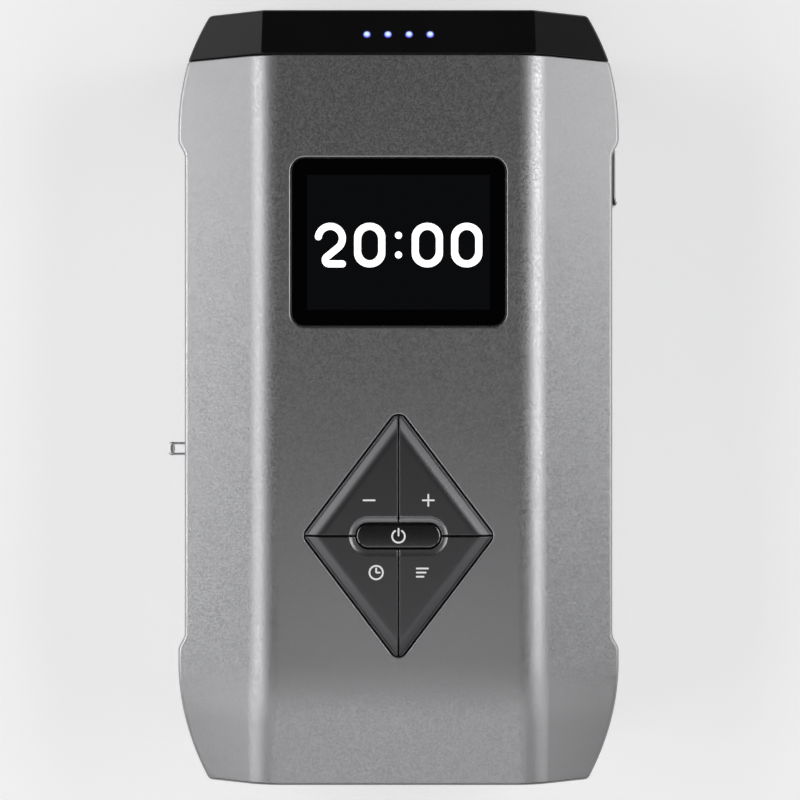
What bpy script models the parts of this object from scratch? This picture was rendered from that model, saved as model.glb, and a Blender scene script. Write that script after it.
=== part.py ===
"""Compression therapy pump, lying on its back with the controls up.

X runs across the casing, Y along it towards the black end cap, Z up from the flat underside.
The casing is a pair of lofted shells. Everything else takes its place from the casing's sizes.
"""

import math

import bmesh
import bpy
import numpy as np
from mathutils import Matrix, Vector

# Casing outline
BODY_LENGTH = 0.2107
BODY_WIDTH = 0.1216
BODY_HEIGHT = 0.0750
END_SWEEP_LENGTH = 0.0322
END_SWEEP_DEPTH = 0.0086
TOP_FACE_WIDTH = 0.0735
TOP_CHAMFER_SHARE = 13.5 / 75
BOTTOM_CHAMFER_WIDTH = 0.0128
BOTTOM_CHAMFER_SHARE = 11 / 75
TOP_CREASE_RADIUS = 0.0150
LOW_CREASE_RADIUS = 0.0080
EDGE_RADIUS = 0.0018
END_RADIUS = 0.0008
INNER_RADIUS = 0.0004
NOSE_LENGTH = 0.0335
NOSE_BEND = 0.0164
NOSE_DROP = 0.0040
SEAM_SHARE = 38 / 75
WALL = 0.0024
GAP = 0.0003
OVERRUN = 0.0040
EMBED = 0.0004
MERGE = 0.00001

# Grip recess in both long sides
RECESS_MARGIN = 0.0026
RECESS_SHIFT = 0.0005
RECESS_SLANT = 0.0050
RECESS_DEPTH = 0.0019

# Lip of the lower casing inside the seam
LIP_THICKNESS = 0.0012
LIP_HEIGHT = 0.0022
LIP_ROOT = 0.0030

# End cap
CAP_LENGTH = 0.0133
CAP_DROP = 0.0060
CAP_RISE = 0.0040
CAP_CREASE_RADIUS = 0.0015
CAP_TONGUE_LENGTH = 0.0040
CAP_TONGUE_THICKNESS = 0.0014

# Lights in the cap
LIGHT_RADIUS = 0.0008
LIGHT_SPACING = 0.0057
LIGHT_FROM_SEAM = 0.0060
LIGHT_BAR_WIDTH = 0.0034
LIGHT_BAR_THICKNESS = 0.0014
LIGHT_BOARD_WIDTH = 0.0060
LIGHT_BOARD_THICKNESS = 0.0012
LIGHT_CHIP_SIZE = 0.0016
LIGHT_CHIP_HEIGHT = 0.0008

# Display
WINDOW_WIDTH = 0.0583
WINDOW_LENGTH = 0.0458
WINDOW_CORNER = 0.0039
WINDOW_THICKNESS = 0.0012
WINDOW_LEDGE = 0.0025
WINDOW_PLACE_SHARE = 416 / 2107
MODULE_WIDTH = 0.0570
MODULE_LENGTH = 0.0430
MODULE_THICKNESS = 0.0040
MODULE_FRAME = 0.0030
MODULE_GLASS_SINK = 0.0006

# Keypad
KEYPAD_PLACE_SHARE = -374 / 2107
KEYPAD_WIDTH = 0.0525
KEYPAD_LENGTH = 0.0692
KEYPAD_CORNER = 0.0028
KEY_GAP = 0.0004
KEY_SLOPE_WIDTH = 0.0035
KEY_RISE = 0.0012
KEY_EDGE_SINK = 0.0002
KEY_FLANGE_WIDTH = 0.0012
KEY_FLANGE_THICKNESS = 0.0010
KEY_TRAVEL = 0.0006
KEY_DOME_CLEARANCE = 0.00015
POWER_LENGTH = 0.0226
POWER_WIDTH = 0.0065
POWER_RISE = 0.0006
POWER_BEVEL = 0.0006
DISH_WIDTH = 0.0020
DISH_DEPTH = 0.0011
MAT_THICKNESS = 0.0010
DOME_FOOT_RADIUS = 0.0034
DOME_TOP_RADIUS = 0.0026

# Main board and what hangs it from the upper casing
BOARD_CLEARANCE = 0.0058
BOARD_PAST_WINDOW = 0.0308
BOARD_PAST_KEYPAD = 0.0384
BOARD_THICKNESS = 0.0016
BOARD_CORNER = 0.0020
POST_RADIUS = 0.0025
POST_INSET = 0.0045
STAKE_RADIUS = 0.0011
STAKE_PROUD = 0.0010
CHIP_THICKNESS = 0.0016
BUZZER_RADIUS = 0.0060
BUZZER_HEIGHT = 0.0055
BUZZER_X = 0.0200
BUZZER_Y = 0.0200

# Charging socket and its cover, in the right grip recess
PORT_FROM_END = 0.0101
PORT_ABOVE_SEAM = 0.0106
PORT_SIZE = 0.0120
PORT_DEPTH = 0.0053
PORT_FLOOR = 0.0023
PORT_SURROUND = 0.0020
SOCKET_WIDTH = 0.0090
SOCKET_HEIGHT = 0.0110
SOCKET_LENGTH = 0.0110
COLLAR_RADIUS = 0.0040
JACK_RADIUS = 0.0028
JACK_PIN_RADIUS = 0.0010
JACK_DEPTH = 0.0090
COVER_HEIGHT = 0.0136
COVER_THICKNESS = 0.0012
COVER_REACH = 0.0177
COVER_LIP = 0.0004
COVER_LIP_LENGTH = 0.0024
HINGE_FROM_END = 0.0012
HINGE_PROUD = 0.0004
HINGE_RADIUS = 0.0010
HINGE_PIN_RADIUS = 0.0005
HINGE_PIN_REACH = 0.0012
HINGE_PIN_CLEARANCE = 0.0001
HINGE_ROOM = 0.0015

# Strap eyelet on the left side
EYELET_Y = -0.0146
EYELET_ABOVE_SEAM = 0.0080
EYELET_WIDTH = 0.0027
EYELET_REACH = 0.0063
EYELET_WIRE = 0.0005
EYELET_TAIL = 0.0014

# Feet and screws
FOOT_RADIUS = 0.0070
FOOT_PROUD = 0.0016
FOOT_SINK = 0.0008
FOOT_BEVEL = 0.0005
FOOT_SIDE_INSET = 0.0120
FOOT_BACK_INSET = 0.0249
FOOT_FRONT_INSET = 0.0149
SCREW_PLACE_SHARE = 430 / 608
SCREW_FROM_PORT = 0.0160
SCREW_FROM_END = 0.0429
BOSS_RADIUS = 0.0042
SCREW_WELL_RADIUS = 0.0032
SCREW_SEAT_DEPTH = 0.0160
SCREW_HEAD_RADIUS = 0.0027
SCREW_HEAD_HEIGHT = 0.0020
SCREW_SHANK_RADIUS = 0.0014
SCREW_LENGTH = 0.0260
SCREW_SLOT_WIDTH = 0.0009
SCREW_SLOT_DEPTH = 0.0010

# Air vents in the underside
VENT_COUNT = 6
VENT_LENGTH = 0.0240
VENT_WIDTH = 0.0020
VENT_SPACING = 0.0045
VENT_FROM_MANIFOLD = 0.0220

# Air outlets in the end wall of the cap
OUTLET_PLACE_SHARE = 34 / 75
OUTLET_SIDE_MARGIN = 0.0102
OUTLET_MIDDLE_MARGIN = 0.0060
OUTLET_HEIGHT = 0.0160
OUTLET_CORNER = 0.0040
OUTLET_RIM = 0.0018
OUTLET_DEPTH = 0.0090
OUTLET_FLANGE = 0.0015
OUTLET_LENGTH_SHARE = 166 / 2107
CHANNELS = 4
CHANNEL_MARGIN = 0.0051
CHANNEL_RADIUS = 0.0017

# Valve manifold
MANIFOLD_MARGIN = 0.0062
MANIFOLD_DEPTH = 0.0117
MANIFOLD_HEIGHT_SHARE = 17 / 75
MANIFOLD_PORT_DEPTH = 0.0050
PILLAR_INSET = 0.0160
PILLAR_WIDTH = 0.0080
PILLAR_DEPTH = 0.0080
VALVE_MARGIN = 0.0130
VALVE_WIDTH = 0.0140
VALVE_DEPTH = 0.0110
VALVE_HEADROOM = 0.0056
VALVE_PLATE = 0.0020
COIL_RADIUS = 0.0048
PLUNGER_RADIUS = 0.0020
PLUNGER_SHARE = 11 / 18
PLUNGER_HEAD_RADIUS = 0.0030
PLUNGER_HEAD_HEIGHT = 0.0012
PLUNGER_TRAVEL = 0.0008
SENSOR_INSET = 0.0180
SENSOR_SIZE = 0.0090
SENSOR_DEPTH = 0.0040
NOZZLE_RADIUS = 0.0022
NOZZLE_LENGTH = 0.0060
NOZZLE_BORE_RADIUS = 0.0012

# Air pump, along one axis parallel to Y
PUMP_PLACE_SHARE = 32 / 75
HOSE_SPAN_SHARE = 199 / 2107
MOTOR_FROM_PACK_SHARE = 115 / 2107
MOTOR_RADIUS = 0.0165
MOTOR_WALL = 0.0012
MOTOR_PLATE_THICKNESS = 0.0025
ARMATURE_RADIUS = 0.0130
ARMATURE_INSET_SHARE = 5 / 36
SHAFT_RADIUS = 0.0015
SHAFT_CLEARANCE = 0.0003
CRANK_RADIUS = 0.0060
CRANK_THICKNESS = 0.0030
CRANK_OFFSET = 0.0020
CRANK_PIN_RADIUS = 0.0010
CRANK_PIN_LENGTH = 0.0040
PUMP_RADIUS = 0.0200
PUMP_BODY_LENGTH = 0.0160
PUMP_WALL = 0.0024
WOBBLE_RADIUS = 0.0140
WOBBLE_THICKNESS = 0.0020
WOBBLE_HUB_RADIUS = 0.0052
WOBBLE_HUB_LENGTH = 0.0050
DIAPHRAGM_THICKNESS = 0.0014
DIAPHRAGM_CUPS = 3
DIAPHRAGM_CUP_RADIUS = 0.0045
DIAPHRAGM_CUP_DEPTH = 0.0030
DIAPHRAGM_CUP_CIRCLE = 0.0085
COVER_DEPTH = 0.0070
FILTER_RADIUS = 0.0050
FILTER_LENGTH = 0.0080
HOSE_RADIUS = 0.0038
HOSE_BORE_RADIUS = 0.0025
CRADLE_WIDTH = 0.0300
CRADLE_BASE = 0.0020
CRADLE_RIB = 0.0040
CRADLE_INSET = 0.0040
CRADLE_DROP = 0.0120

# Battery
CELL_COUNT = 4
PACK_LENGTH_SHARE = 790 / 2107
PACK_FROM_END = 0.0064
PACK_CLEARANCE = 0.0045
CELL_CAP_RADIUS = 0.0030
CELL_CAP_HEIGHT = 0.0010
CELL_BEVEL = 0.0006
CELL_SPACE = 0.0006
TRAY_WALL = 0.0015
TRAY_FLOOR = 0.0015
TRAY_BELOW_AXIS = 0.0010

# How finely curves are divided
CREASE_STEPS = 4
EDGE_STEPS = 2
END_STEPS = 3
SWEEP_STEPS = 4
NOSE_STEPS = 5
CORNER_STEPS = 4
SMALL_SIDES = 12
HIDDEN_SIDES = 8
ROUND_SIDES = 20
SMOOTH_ANGLE = math.radians(30)

# Sizes and places that follow from the ones above
HALF_LENGTH = BODY_LENGTH / 2
HALF_WIDTH = BODY_WIDTH / 2
END_WIDTH = BODY_WIDTH - 2 * END_SWEEP_DEPTH
BOTTOM_FACE_WIDTH = BODY_WIDTH - 2 * BOTTOM_CHAMFER_WIDTH
TOP_CHAMFER_DROP = TOP_CHAMFER_SHARE * BODY_HEIGHT
BOTTOM_CHAMFER_DROP = BOTTOM_CHAMFER_SHARE * BODY_HEIGHT
SEAM_HEIGHT = SEAM_SHARE * BODY_HEIGHT
JUNCTION_Y = HALF_LENGTH - CAP_LENGTH
CEILING = BODY_HEIGHT - WALL
FLOOR_REST = WALL + GAP
TOP_SLOPE = TOP_CHAMFER_DROP / (HALF_WIDTH - TOP_FACE_WIDTH / 2)
BOTTOM_SLOPE = BOTTOM_CHAMFER_DROP / (HALF_WIDTH - BOTTOM_FACE_WIDTH / 2)
RECESS_X = HALF_WIDTH - RECESS_DEPTH
RECESS_LENGTH = BODY_LENGTH - 2 * (END_SWEEP_LENGTH + RECESS_MARGIN)
RECESS_END_Y = RECESS_SHIFT + RECESS_LENGTH / 2
WINDOW_Y = WINDOW_PLACE_SHARE * BODY_LENGTH
KEYPAD_Y = KEYPAD_PLACE_SHARE * BODY_LENGTH
PORT_X = RECESS_X - PORT_DEPTH
PORT_Y = RECESS_END_Y - PORT_FROM_END
PORT_HEIGHT = SEAM_HEIGHT + PORT_ABOVE_SEAM
COVER_END_Y = RECESS_END_Y - COVER_REACH
HINGE_X = RECESS_X + HINGE_PROUD
HINGE_Y = RECESS_END_Y - HINGE_FROM_END
EYELET_HEIGHT = SEAM_HEIGHT + EYELET_ABOVE_SEAM
FOOT_X = BOTTOM_FACE_WIDTH / 2 - FOOT_SIDE_INSET
FOOT_BACK_Y = HALF_LENGTH - FOOT_BACK_INSET
FOOT_FRONT_Y = FOOT_FRONT_INSET - HALF_LENGTH
SCREW_X = SCREW_PLACE_SHARE * HALF_WIDTH
SCREW_BACK_Y = PORT_Y - SCREW_FROM_PORT
SCREW_FRONT_Y = SCREW_FROM_END - HALF_LENGTH
SCREW_SEAT_HEIGHT = SEAM_HEIGHT - SCREW_SEAT_DEPTH
MODULE_TOP = CEILING - GAP
MODULE_BASE = MODULE_TOP - MODULE_THICKNESS
BOARD_WIDTH = 2 * (SCREW_X - BOSS_RADIUS - BOARD_CLEARANCE)
BOARD_HIGH_Y = WINDOW_Y + BOARD_PAST_WINDOW
BOARD_LOW_Y = KEYPAD_Y - BOARD_PAST_KEYPAD
BOARD_LENGTH = BOARD_HIGH_Y - BOARD_LOW_Y
BOARD_Y = (BOARD_HIGH_Y + BOARD_LOW_Y) / 2
BOARD_TOP = MODULE_BASE - GAP
BOARD_BASE = BOARD_TOP - BOARD_THICKNESS
KEY_TOP = BODY_HEIGHT + KEY_RISE
KEY_LEDGE = CEILING - GAP
KEY_BASE = KEY_LEDGE - KEY_FLANGE_THICKNESS
MAT_BASE = BOARD_TOP + GAP
MAT_TOP = MAT_BASE + MAT_THICKNESS
DOME_TOP = KEY_BASE - KEY_TRAVEL - KEY_DOME_CLEARANCE
OUTLET_WIDTH = END_WIDTH / 2 - OUTLET_SIDE_MARGIN - OUTLET_MIDDLE_MARGIN
OUTLET_X = OUTLET_MIDDLE_MARGIN + OUTLET_WIDTH / 2
OUTLET_Z = OUTLET_PLACE_SHARE * BODY_HEIGHT
CHANNEL_SPACING = (OUTLET_WIDTH - 2 * OUTLET_RIM - 2 * CHANNEL_MARGIN) / (CHANNELS - 1)
OUTLET_LENGTH = OUTLET_LENGTH_SHARE * BODY_LENGTH
MANIFOLD_WIDTH = END_WIDTH - 2 * MANIFOLD_MARGIN
MANIFOLD_HEIGHT = MANIFOLD_HEIGHT_SHARE * BODY_HEIGHT
MANIFOLD_FRONT_Y = HALF_LENGTH - GAP - OUTLET_LENGTH - GAP
MANIFOLD_BACK_Y = MANIFOLD_FRONT_Y - MANIFOLD_DEPTH
MANIFOLD_BASE = OUTLET_Z - MANIFOLD_HEIGHT / 2
MANIFOLD_TOP = MANIFOLD_BASE + MANIFOLD_HEIGHT
VENT_Y = MANIFOLD_BACK_Y - VENT_FROM_MANIFOLD
PILLAR_X = MANIFOLD_WIDTH / 2 - PILLAR_INSET
SENSOR_X = MANIFOLD_WIDTH / 2 - SENSOR_INSET
VALVE_SPACING = (MANIFOLD_WIDTH - 2 * VALVE_MARGIN) / (CHANNELS - 1)
VALVE_Y = (MANIFOLD_FRONT_Y + MANIFOLD_BACK_Y) / 2
VALVE_BASE = MANIFOLD_TOP + GAP
VALVE_TOP = BOARD_BASE - VALVE_HEADROOM
PLUNGER_LENGTH = PLUNGER_SHARE * (VALVE_TOP - VALVE_BASE)
PACK_LENGTH = PACK_LENGTH_SHARE * BODY_LENGTH
PACK_Y = PACK_FROM_END + PACK_LENGTH / 2 - HALF_LENGTH
CELL_RADIUS = ((PACK_LENGTH - 2 * TRAY_WALL) / CELL_COUNT - CELL_SPACE) / 2
CELL_LENGTH = 2 * (SCREW_X - BOSS_RADIUS - PACK_CLEARANCE - TRAY_WALL - GAP)
CELL_PITCH = 2 * CELL_RADIUS + CELL_SPACE
CELL_Z = FLOOR_REST + TRAY_FLOOR + GAP + CELL_RADIUS
TRAY_TOP = CELL_Z - TRAY_BELOW_AXIS
PUMP_Z = PUMP_PLACE_SHARE * BODY_HEIGHT
PUMP_COVER_END_Y = MANIFOLD_BACK_Y - HOSE_SPAN_SHARE * BODY_LENGTH
PUMP_COVER_Y = PUMP_COVER_END_Y - COVER_DEPTH
DIAPHRAGM_Y = PUMP_COVER_Y - GAP - DIAPHRAGM_THICKNESS
PUMP_START_Y = DIAPHRAGM_Y - GAP - PUMP_BODY_LENGTH
PLATE_START_Y = PUMP_START_Y - GAP - MOTOR_PLATE_THICKNESS
MOTOR_END_Y = PLATE_START_Y - GAP
MOTOR_START_Y = PACK_Y + PACK_LENGTH / 2 + MOTOR_FROM_PACK_SHARE * BODY_LENGTH
MOTOR_LENGTH = MOTOR_END_Y - MOTOR_START_Y
ARMATURE_INSET = ARMATURE_INSET_SHARE * MOTOR_LENGTH
CRADLE_TOP = FLOOR_REST + PUMP_Z - CRADLE_DROP

SIDES = (-1, 1)
QUARTERS = ((-1, 1), (1, 1), (-1, -1), (1, -1))
KEY_CENTRE_SHARE = 0.36
CHIP_SHARES = (
    (-0.25, 0.30, 0.24, 0.11),
    (0.20, 0.32, 0.16, 0.07),
    (-0.22, -0.05, 0.14, 0.12),
    (0.24, -0.30, 0.20, 0.09),
)

PARTS = bpy.data.collections.new("compression_therapy_pump")
CUTTERS = bpy.data.collections.new("cutters")


def clear_scene():
    for thing in list(bpy.data.objects):
        bpy.data.objects.remove(thing, do_unlink=True)
    bpy.context.scene.collection.children.link(PARTS)
    bpy.context.scene.collection.children.link(CUTTERS)


def add(name, mesh):
    """New object of a mesh, among the parts."""
    mesh.shade_smooth()
    mesh.set_sharp_from_angle(angle=SMOOTH_ANGLE)
    made = bpy.data.objects.new(name, mesh)
    PARTS.objects.link(made)
    return made


def finish(thing, colour, roughness, metallic=0.0):
    """Give an object its own material."""
    material = bpy.data.materials.new(thing.name + "_finish")
    material.use_nodes = True
    shader = material.node_tree.nodes["Principled BSDF"]
    shader.inputs["Base Color"].default_value = (*colour, 1.0)
    shader.inputs["Roughness"].default_value = roughness
    shader.inputs["Metallic"].default_value = metallic
    thing.data.materials.clear()
    thing.data.materials.append(material)
    return thing


def silver_paint(thing):
    return finish(thing, (0.42, 0.42, 0.43), 0.42, 0.7)


def black_gloss(thing):
    return finish(thing, (0.01, 0.01, 0.011), 0.12)


def black_satin(thing):
    return finish(thing, (0.04, 0.04, 0.042), 0.4)


def grey_key(thing):
    return finish(thing, (0.06, 0.06, 0.062), 0.38)


def dark_rubber(thing):
    return finish(thing, (0.02, 0.02, 0.02), 0.8)


def pale_silicone(thing):
    return finish(thing, (0.6, 0.6, 0.58), 0.55)


def bright_metal(thing):
    return finish(thing, (0.75, 0.75, 0.76), 0.2, 1.0)


def dull_steel(thing):
    return finish(thing, (0.5, 0.5, 0.5), 0.4, 1.0)


def circuit_green(thing):
    return finish(thing, (0.02, 0.14, 0.05), 0.4)


def white_nylon(thing):
    return finish(thing, (0.72, 0.72, 0.68), 0.5)


def cell_wrap(thing):
    return finish(thing, (0.03, 0.22, 0.42), 0.35)


def clear_plastic(thing):
    return finish(thing, (0.7, 0.8, 1.0), 0.1)


def combine(target, other, operation):
    """Boolean of a target with another object, which becomes a hidden tool."""
    change = target.modifiers.new(operation.lower() + "_" + other.name, "BOOLEAN")
    change.operation = operation
    change.object = other
    if other.name in PARTS.objects:
        PARTS.objects.unlink(other)
        CUTTERS.objects.link(other)
    other.hide_render = True
    other.display_type = "WIRE"


def cut(target, *others):
    for other in others:
        combine(target, other, "DIFFERENCE")


def join(target, *others):
    for other in others:
        combine(target, other, "UNION")


def move_origin(thing, point):
    """Put an object's origin at a point and leave its shape where it is."""
    turned_back = thing.matrix_basis.inverted()
    thing.data.transform(Matrix.Translation(-(turned_back @ Vector(point))))
    thing.matrix_basis = Matrix.Translation(Vector(point) - thing.location) @ thing.matrix_basis


def rounded(corners, radii, divisions):
    """Closed outline whose corners are arcs of the given radii and divisions. Zero radius stays sharp."""
    points = []
    count = len(corners)
    for i, (corner, radius, steps) in enumerate(zip(corners, radii, divisions)):
        here = Vector(corner)
        if radius == 0:
            points.append(tuple(here))
            continue
        last = (Vector(corners[i - 1]) - here).normalized()
        following = (Vector(corners[(i + 1) % count]) - here).normalized()
        half = last.angle(following) / 2
        centre = here + (last + following).normalized() * (radius / math.sin(half))
        first = here + last * (radius / math.tan(half)) - centre
        final = here + following * (radius / math.tan(half)) - centre
        start = math.atan2(first.y, first.x)
        sweep = (math.atan2(final.y, final.x) - start + math.pi) % math.tau - math.pi
        for k in range(steps + 1):
            angle = start + sweep * k / steps
            points.append((centre.x + radius * math.cos(angle), centre.y + radius * math.sin(angle)))
    return points


def rectangle(width, length, radius, centre_x=0, centre_y=0):
    """Rounded rectangle about a centre."""
    w, h = width / 2, length / 2
    corners = [(centre_x + sx * w, centre_y + sy * h) for sx, sy in ((-1, -1), (1, -1), (1, 1), (-1, 1))]
    return rounded(corners, [radius] * 4, [CORNER_STEPS] * 4)


def stadium(length, width, grow=0):
    """Outline with two half-round ends, grown all round."""
    radius = width / 2 + grow
    reach = (length - width) / 2
    turns = np.linspace(-math.pi / 2, math.pi / 2, 2 * CORNER_STEPS + 1)
    right = [(reach + radius * math.cos(a), radius * math.sin(a)) for a in turns]
    return right + [(-x, -y) for x, y in right]


def diamond(inset=0):
    """Outline of the keypad, moved in all round by an inset."""
    half_width, half_length = KEYPAD_WIDTH / 2, KEYPAD_LENGTH / 2
    inner_radius = half_width * half_length / math.hypot(half_width, half_length)
    share = (inner_radius - inset) / inner_radius
    half_width, half_length = half_width * share, half_length * share
    corners = [(0, -half_length), (half_width, 0), (0, half_length), (-half_width, 0)]
    radius = max(KEYPAD_CORNER - inset, INNER_RADIUS)
    return [(x, KEYPAD_Y + y) for x, y in rounded(corners, [radius] * 4, [CORNER_STEPS] * 4)]


def loft(name, rings):
    """Solid through rings of as many points each, closed by a flat face at both ends."""
    shape = bmesh.new()
    rows = [[shape.verts.new(point) for point in ring] for ring in rings]
    for low, high in zip(rows, rows[1:]):
        for i in range(len(low)):
            shape.faces.new((low[i - 1], low[i], high[i], high[i - 1]))
    shape.faces.new(rows[0][::-1])
    shape.faces.new(rows[-1])
    bmesh.ops.recalc_face_normals(shape, faces=shape.faces)
    mesh = bpy.data.meshes.new(name)
    shape.to_mesh(mesh)
    shape.free()
    return add(name, mesh)


def upright_loft(name, levels):
    """Solid through outlines at heights, given as pairs."""
    return loft(name, [[(x, y, z) for x, y in outline] for z, outline in levels])


def slab(name, outline, low, high):
    """Flat outline with a thickness, from one height to another."""
    curve = bpy.data.curves.new(name, "CURVE")
    curve.dimensions = "2D"
    curve.fill_mode = "BOTH"
    curve.extrude = (high - low) / 2
    line = curve.splines.new("POLY")
    line.points.add(len(outline) - 1)
    line.points.foreach_set("co", [value for x, y in outline for value in (x, y, 0, 1)])
    line.use_cyclic_u = True
    flat = bpy.data.objects.new(name + "_outline", curve)
    PARTS.objects.link(flat)
    flat.location.z = (low + high) / 2
    bpy.context.view_layer.update()
    mesh = bpy.data.meshes.new_from_object(flat.evaluated_get(bpy.context.evaluated_depsgraph_get()))
    shape = bmesh.new()
    shape.from_mesh(mesh)
    bmesh.ops.remove_doubles(shape, verts=shape.verts, dist=MERGE)
    bmesh.ops.recalc_face_normals(shape, faces=shape.faces)
    shape.to_mesh(mesh)
    shape.free()
    made = add(name, mesh)
    made.location.z = (low + high) / 2
    bpy.data.objects.remove(flat)
    bpy.data.curves.remove(curve)
    return made


def block(name, low, high):
    """Box from its lowest corner to its highest."""
    low, high = Vector(low), Vector(high)
    shape = bmesh.new()
    bmesh.ops.create_cube(shape, size=1)
    bmesh.ops.scale(shape, vec=high - low, verts=shape.verts)
    mesh = bpy.data.meshes.new(name)
    shape.to_mesh(mesh)
    shape.free()
    made = add(name, mesh)
    made.location = (low + high) / 2
    return made


def rod(name, radius, start, end, sides=SMALL_SIDES, end_radius=None):
    """Round rod from one point to another, tapered where its end has a radius of its own."""
    start, end = Vector(start), Vector(end)
    shape = bmesh.new()
    bmesh.ops.create_cone(
        shape,
        cap_ends=True,
        segments=sides,
        radius1=radius,
        radius2=radius if end_radius is None else end_radius,
        depth=(end - start).length,
    )
    mesh = bpy.data.meshes.new(name)
    shape.to_mesh(mesh)
    shape.free()
    made = add(name, mesh)
    made.location = (start + end) / 2
    made.rotation_euler = (end - start).to_track_quat("Z", "Y").to_euler()
    return made


def turned(name, profile, place, sides=ROUND_SIDES, closed=False, along_y=False):
    """Profile of (radius, height) pairs turned about an axis, its outer side running from top to bottom."""
    count = len(profile)
    edges = [(i, i + 1) for i in range(count - 1)]
    if closed:
        edges.append((count - 1, 0))
    mesh = bpy.data.meshes.new(name)
    mesh.from_pydata([(radius, 0, height) for radius, height in profile], edges, [])
    made = add(name, mesh)
    made.location = place
    if along_y:
        made.rotation_euler.x = -math.pi / 2
    spin = made.modifiers.new("turn", "SCREW")
    spin.steps = spin.render_steps = sides
    spin.use_merge_vertices = True
    spin.merge_threshold = MERGE
    spin.use_smooth_shade = True
    return made


def sweep_in(distance, length, drop):
    """How far a round arc has left its tangent at a distance, when it leaves it by the drop at the length."""
    if distance <= 0:
        return 0
    radius = (length * length + drop * drop) / (2 * drop)
    return radius - math.sqrt(max(radius * radius - distance * distance, 0))


def recess_share(y):
    """Depth of the grip recess at a place along the casing, from 0 to 1."""
    inside = RECESS_LENGTH / 2 - abs(y - RECESS_SHIFT)
    return min(max(inside / RECESS_SLANT, 0), 1)


def side_x(y):
    """Half-width of the casing at its widest height."""
    straight = HALF_LENGTH - END_SWEEP_LENGTH
    sweep = sweep_in(abs(y) - straight, END_SWEEP_LENGTH, END_SWEEP_DEPTH)
    return HALF_WIDTH - sweep - RECESS_DEPTH * recess_share(y)


def top_z(y):
    """Height of the centre face: flat, bent down at the lower end, sloping down on the cap."""
    return BODY_HEIGHT - nose_drop(y) - CAP_DROP * max(y - JUNCTION_Y, 0) / CAP_LENGTH


def nose_drop(y):
    """How far the centre face has come down at the lower end: an even bend, then an even slope."""
    past = max(-y - (HALF_LENGTH - NOSE_LENGTH), 0)
    bent = min(past, NOSE_BEND)
    return NOSE_DROP * (past - bent + bent * bent / (2 * NOSE_BEND)) / (NOSE_LENGTH - NOSE_BEND / 2)


def bottom_z(y):
    return CAP_RISE * max(y - JUNCTION_Y, 0) / CAP_LENGTH


def facet_corners(face_width, slope, y, inset):
    """Ends of the sloping facet beside a flat face, as (x, depth) pairs, moved in by an inset."""
    steepness = math.hypot(1, slope)
    crease = face_width / 2 - inset * (steepness - 1) / slope
    edge = side_x(y) - inset
    depth = (edge - face_width / 2) * slope + inset * steepness
    return (crease, inset), (edge, depth)


def shrunk(radius, inset):
    return max(radius - inset, INNER_RADIUS)


def upper_section(y, inset, foot_z):
    """Section of the upper casing across a place, closed by a line at the foot height."""
    (crease_x, crease_depth), (edge_x, edge_depth) = facet_corners(TOP_FACE_WIDTH, TOP_SLOPE, y, inset)
    half = [(edge_x, foot_z), (edge_x, top_z(y) - edge_depth), (crease_x, top_z(y) - crease_depth)]
    return mirrored_section(half, inset, y, TOP_CREASE_RADIUS)


def lower_section(y, inset, foot_z):
    """Section of the lower casing across a place, closed by a line at the foot height."""
    (crease_x, crease_depth), (edge_x, edge_depth) = facet_corners(BOTTOM_FACE_WIDTH, BOTTOM_SLOPE, y, inset)
    half = [(edge_x, foot_z), (edge_x, bottom_z(y) + edge_depth), (crease_x, bottom_z(y) + crease_depth)]
    return mirrored_section(half, inset, y, LOW_CREASE_RADIUS)


def mirrored_section(half, inset, y, crease_radius):
    corners = half + [(-x, z) for x, z in half[::-1]]
    edge, crease = shrunk(EDGE_RADIUS, inset), shrunk(crease_radius, inset)
    divisions = [0, EDGE_STEPS, CREASE_STEPS, CREASE_STEPS, EDGE_STEPS, 0]
    outline = rounded(corners, [0, edge, crease, crease, edge, 0], divisions)
    return [(x, y, z) for x, z in outline]


def whole_section(y, inset, crease_radius=CAP_CREASE_RADIUS):
    """Section of the whole casing across a place, as a closed ring."""
    (top_crease_x, top_crease), (edge_x, top_edge) = facet_corners(TOP_FACE_WIDTH, TOP_SLOPE, y, inset)
    (low_crease_x, low_crease), (_, low_edge) = facet_corners(BOTTOM_FACE_WIDTH, BOTTOM_SLOPE, y, inset)
    half = [
        (low_crease_x, bottom_z(y) + low_crease),
        (edge_x, bottom_z(y) + low_edge),
        (edge_x, top_z(y) - top_edge),
        (top_crease_x, top_z(y) - top_crease),
    ]
    corners = half + [(-x, z) for x, z in half[::-1]]
    edge, low = shrunk(EDGE_RADIUS, inset), shrunk(LOW_CREASE_RADIUS, inset)
    top = shrunk(crease_radius, inset)
    divisions = [CREASE_STEPS, EDGE_STEPS, EDGE_STEPS, CREASE_STEPS] * 2
    outline = rounded(corners, [low, edge, edge, top, top, edge, edge, low], divisions)
    return [(x, y, z) for x, z in outline]


def casing_stations():
    """Places along the casing where its outline bends."""
    recess_low = RECESS_SHIFT - RECESS_LENGTH / 2
    places = {recess_low, recess_low + RECESS_SLANT, RECESS_END_Y - RECESS_SLANT, RECESS_END_Y}
    places.update(np.linspace(END_RADIUS - HALF_LENGTH, NOSE_LENGTH - HALF_LENGTH, NOSE_STEPS + 1))
    places.update(np.linspace(HALF_LENGTH - END_SWEEP_LENGTH, JUNCTION_Y, SWEEP_STEPS + 1))
    return sorted(float(y) for y in places)


def round_end(section, end_y, inward):
    """Rings of a rounded end, from its flat face inwards. Inward is the sign of the way in along Y."""
    rings = []
    for k in range(END_STEPS):
        angle = math.pi / 2 * k / END_STEPS
        y = end_y + inward * END_RADIUS * (1 - math.cos(angle))
        rings.append(section(y, END_RADIUS * (1 - math.sin(angle))))
    return rings


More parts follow.
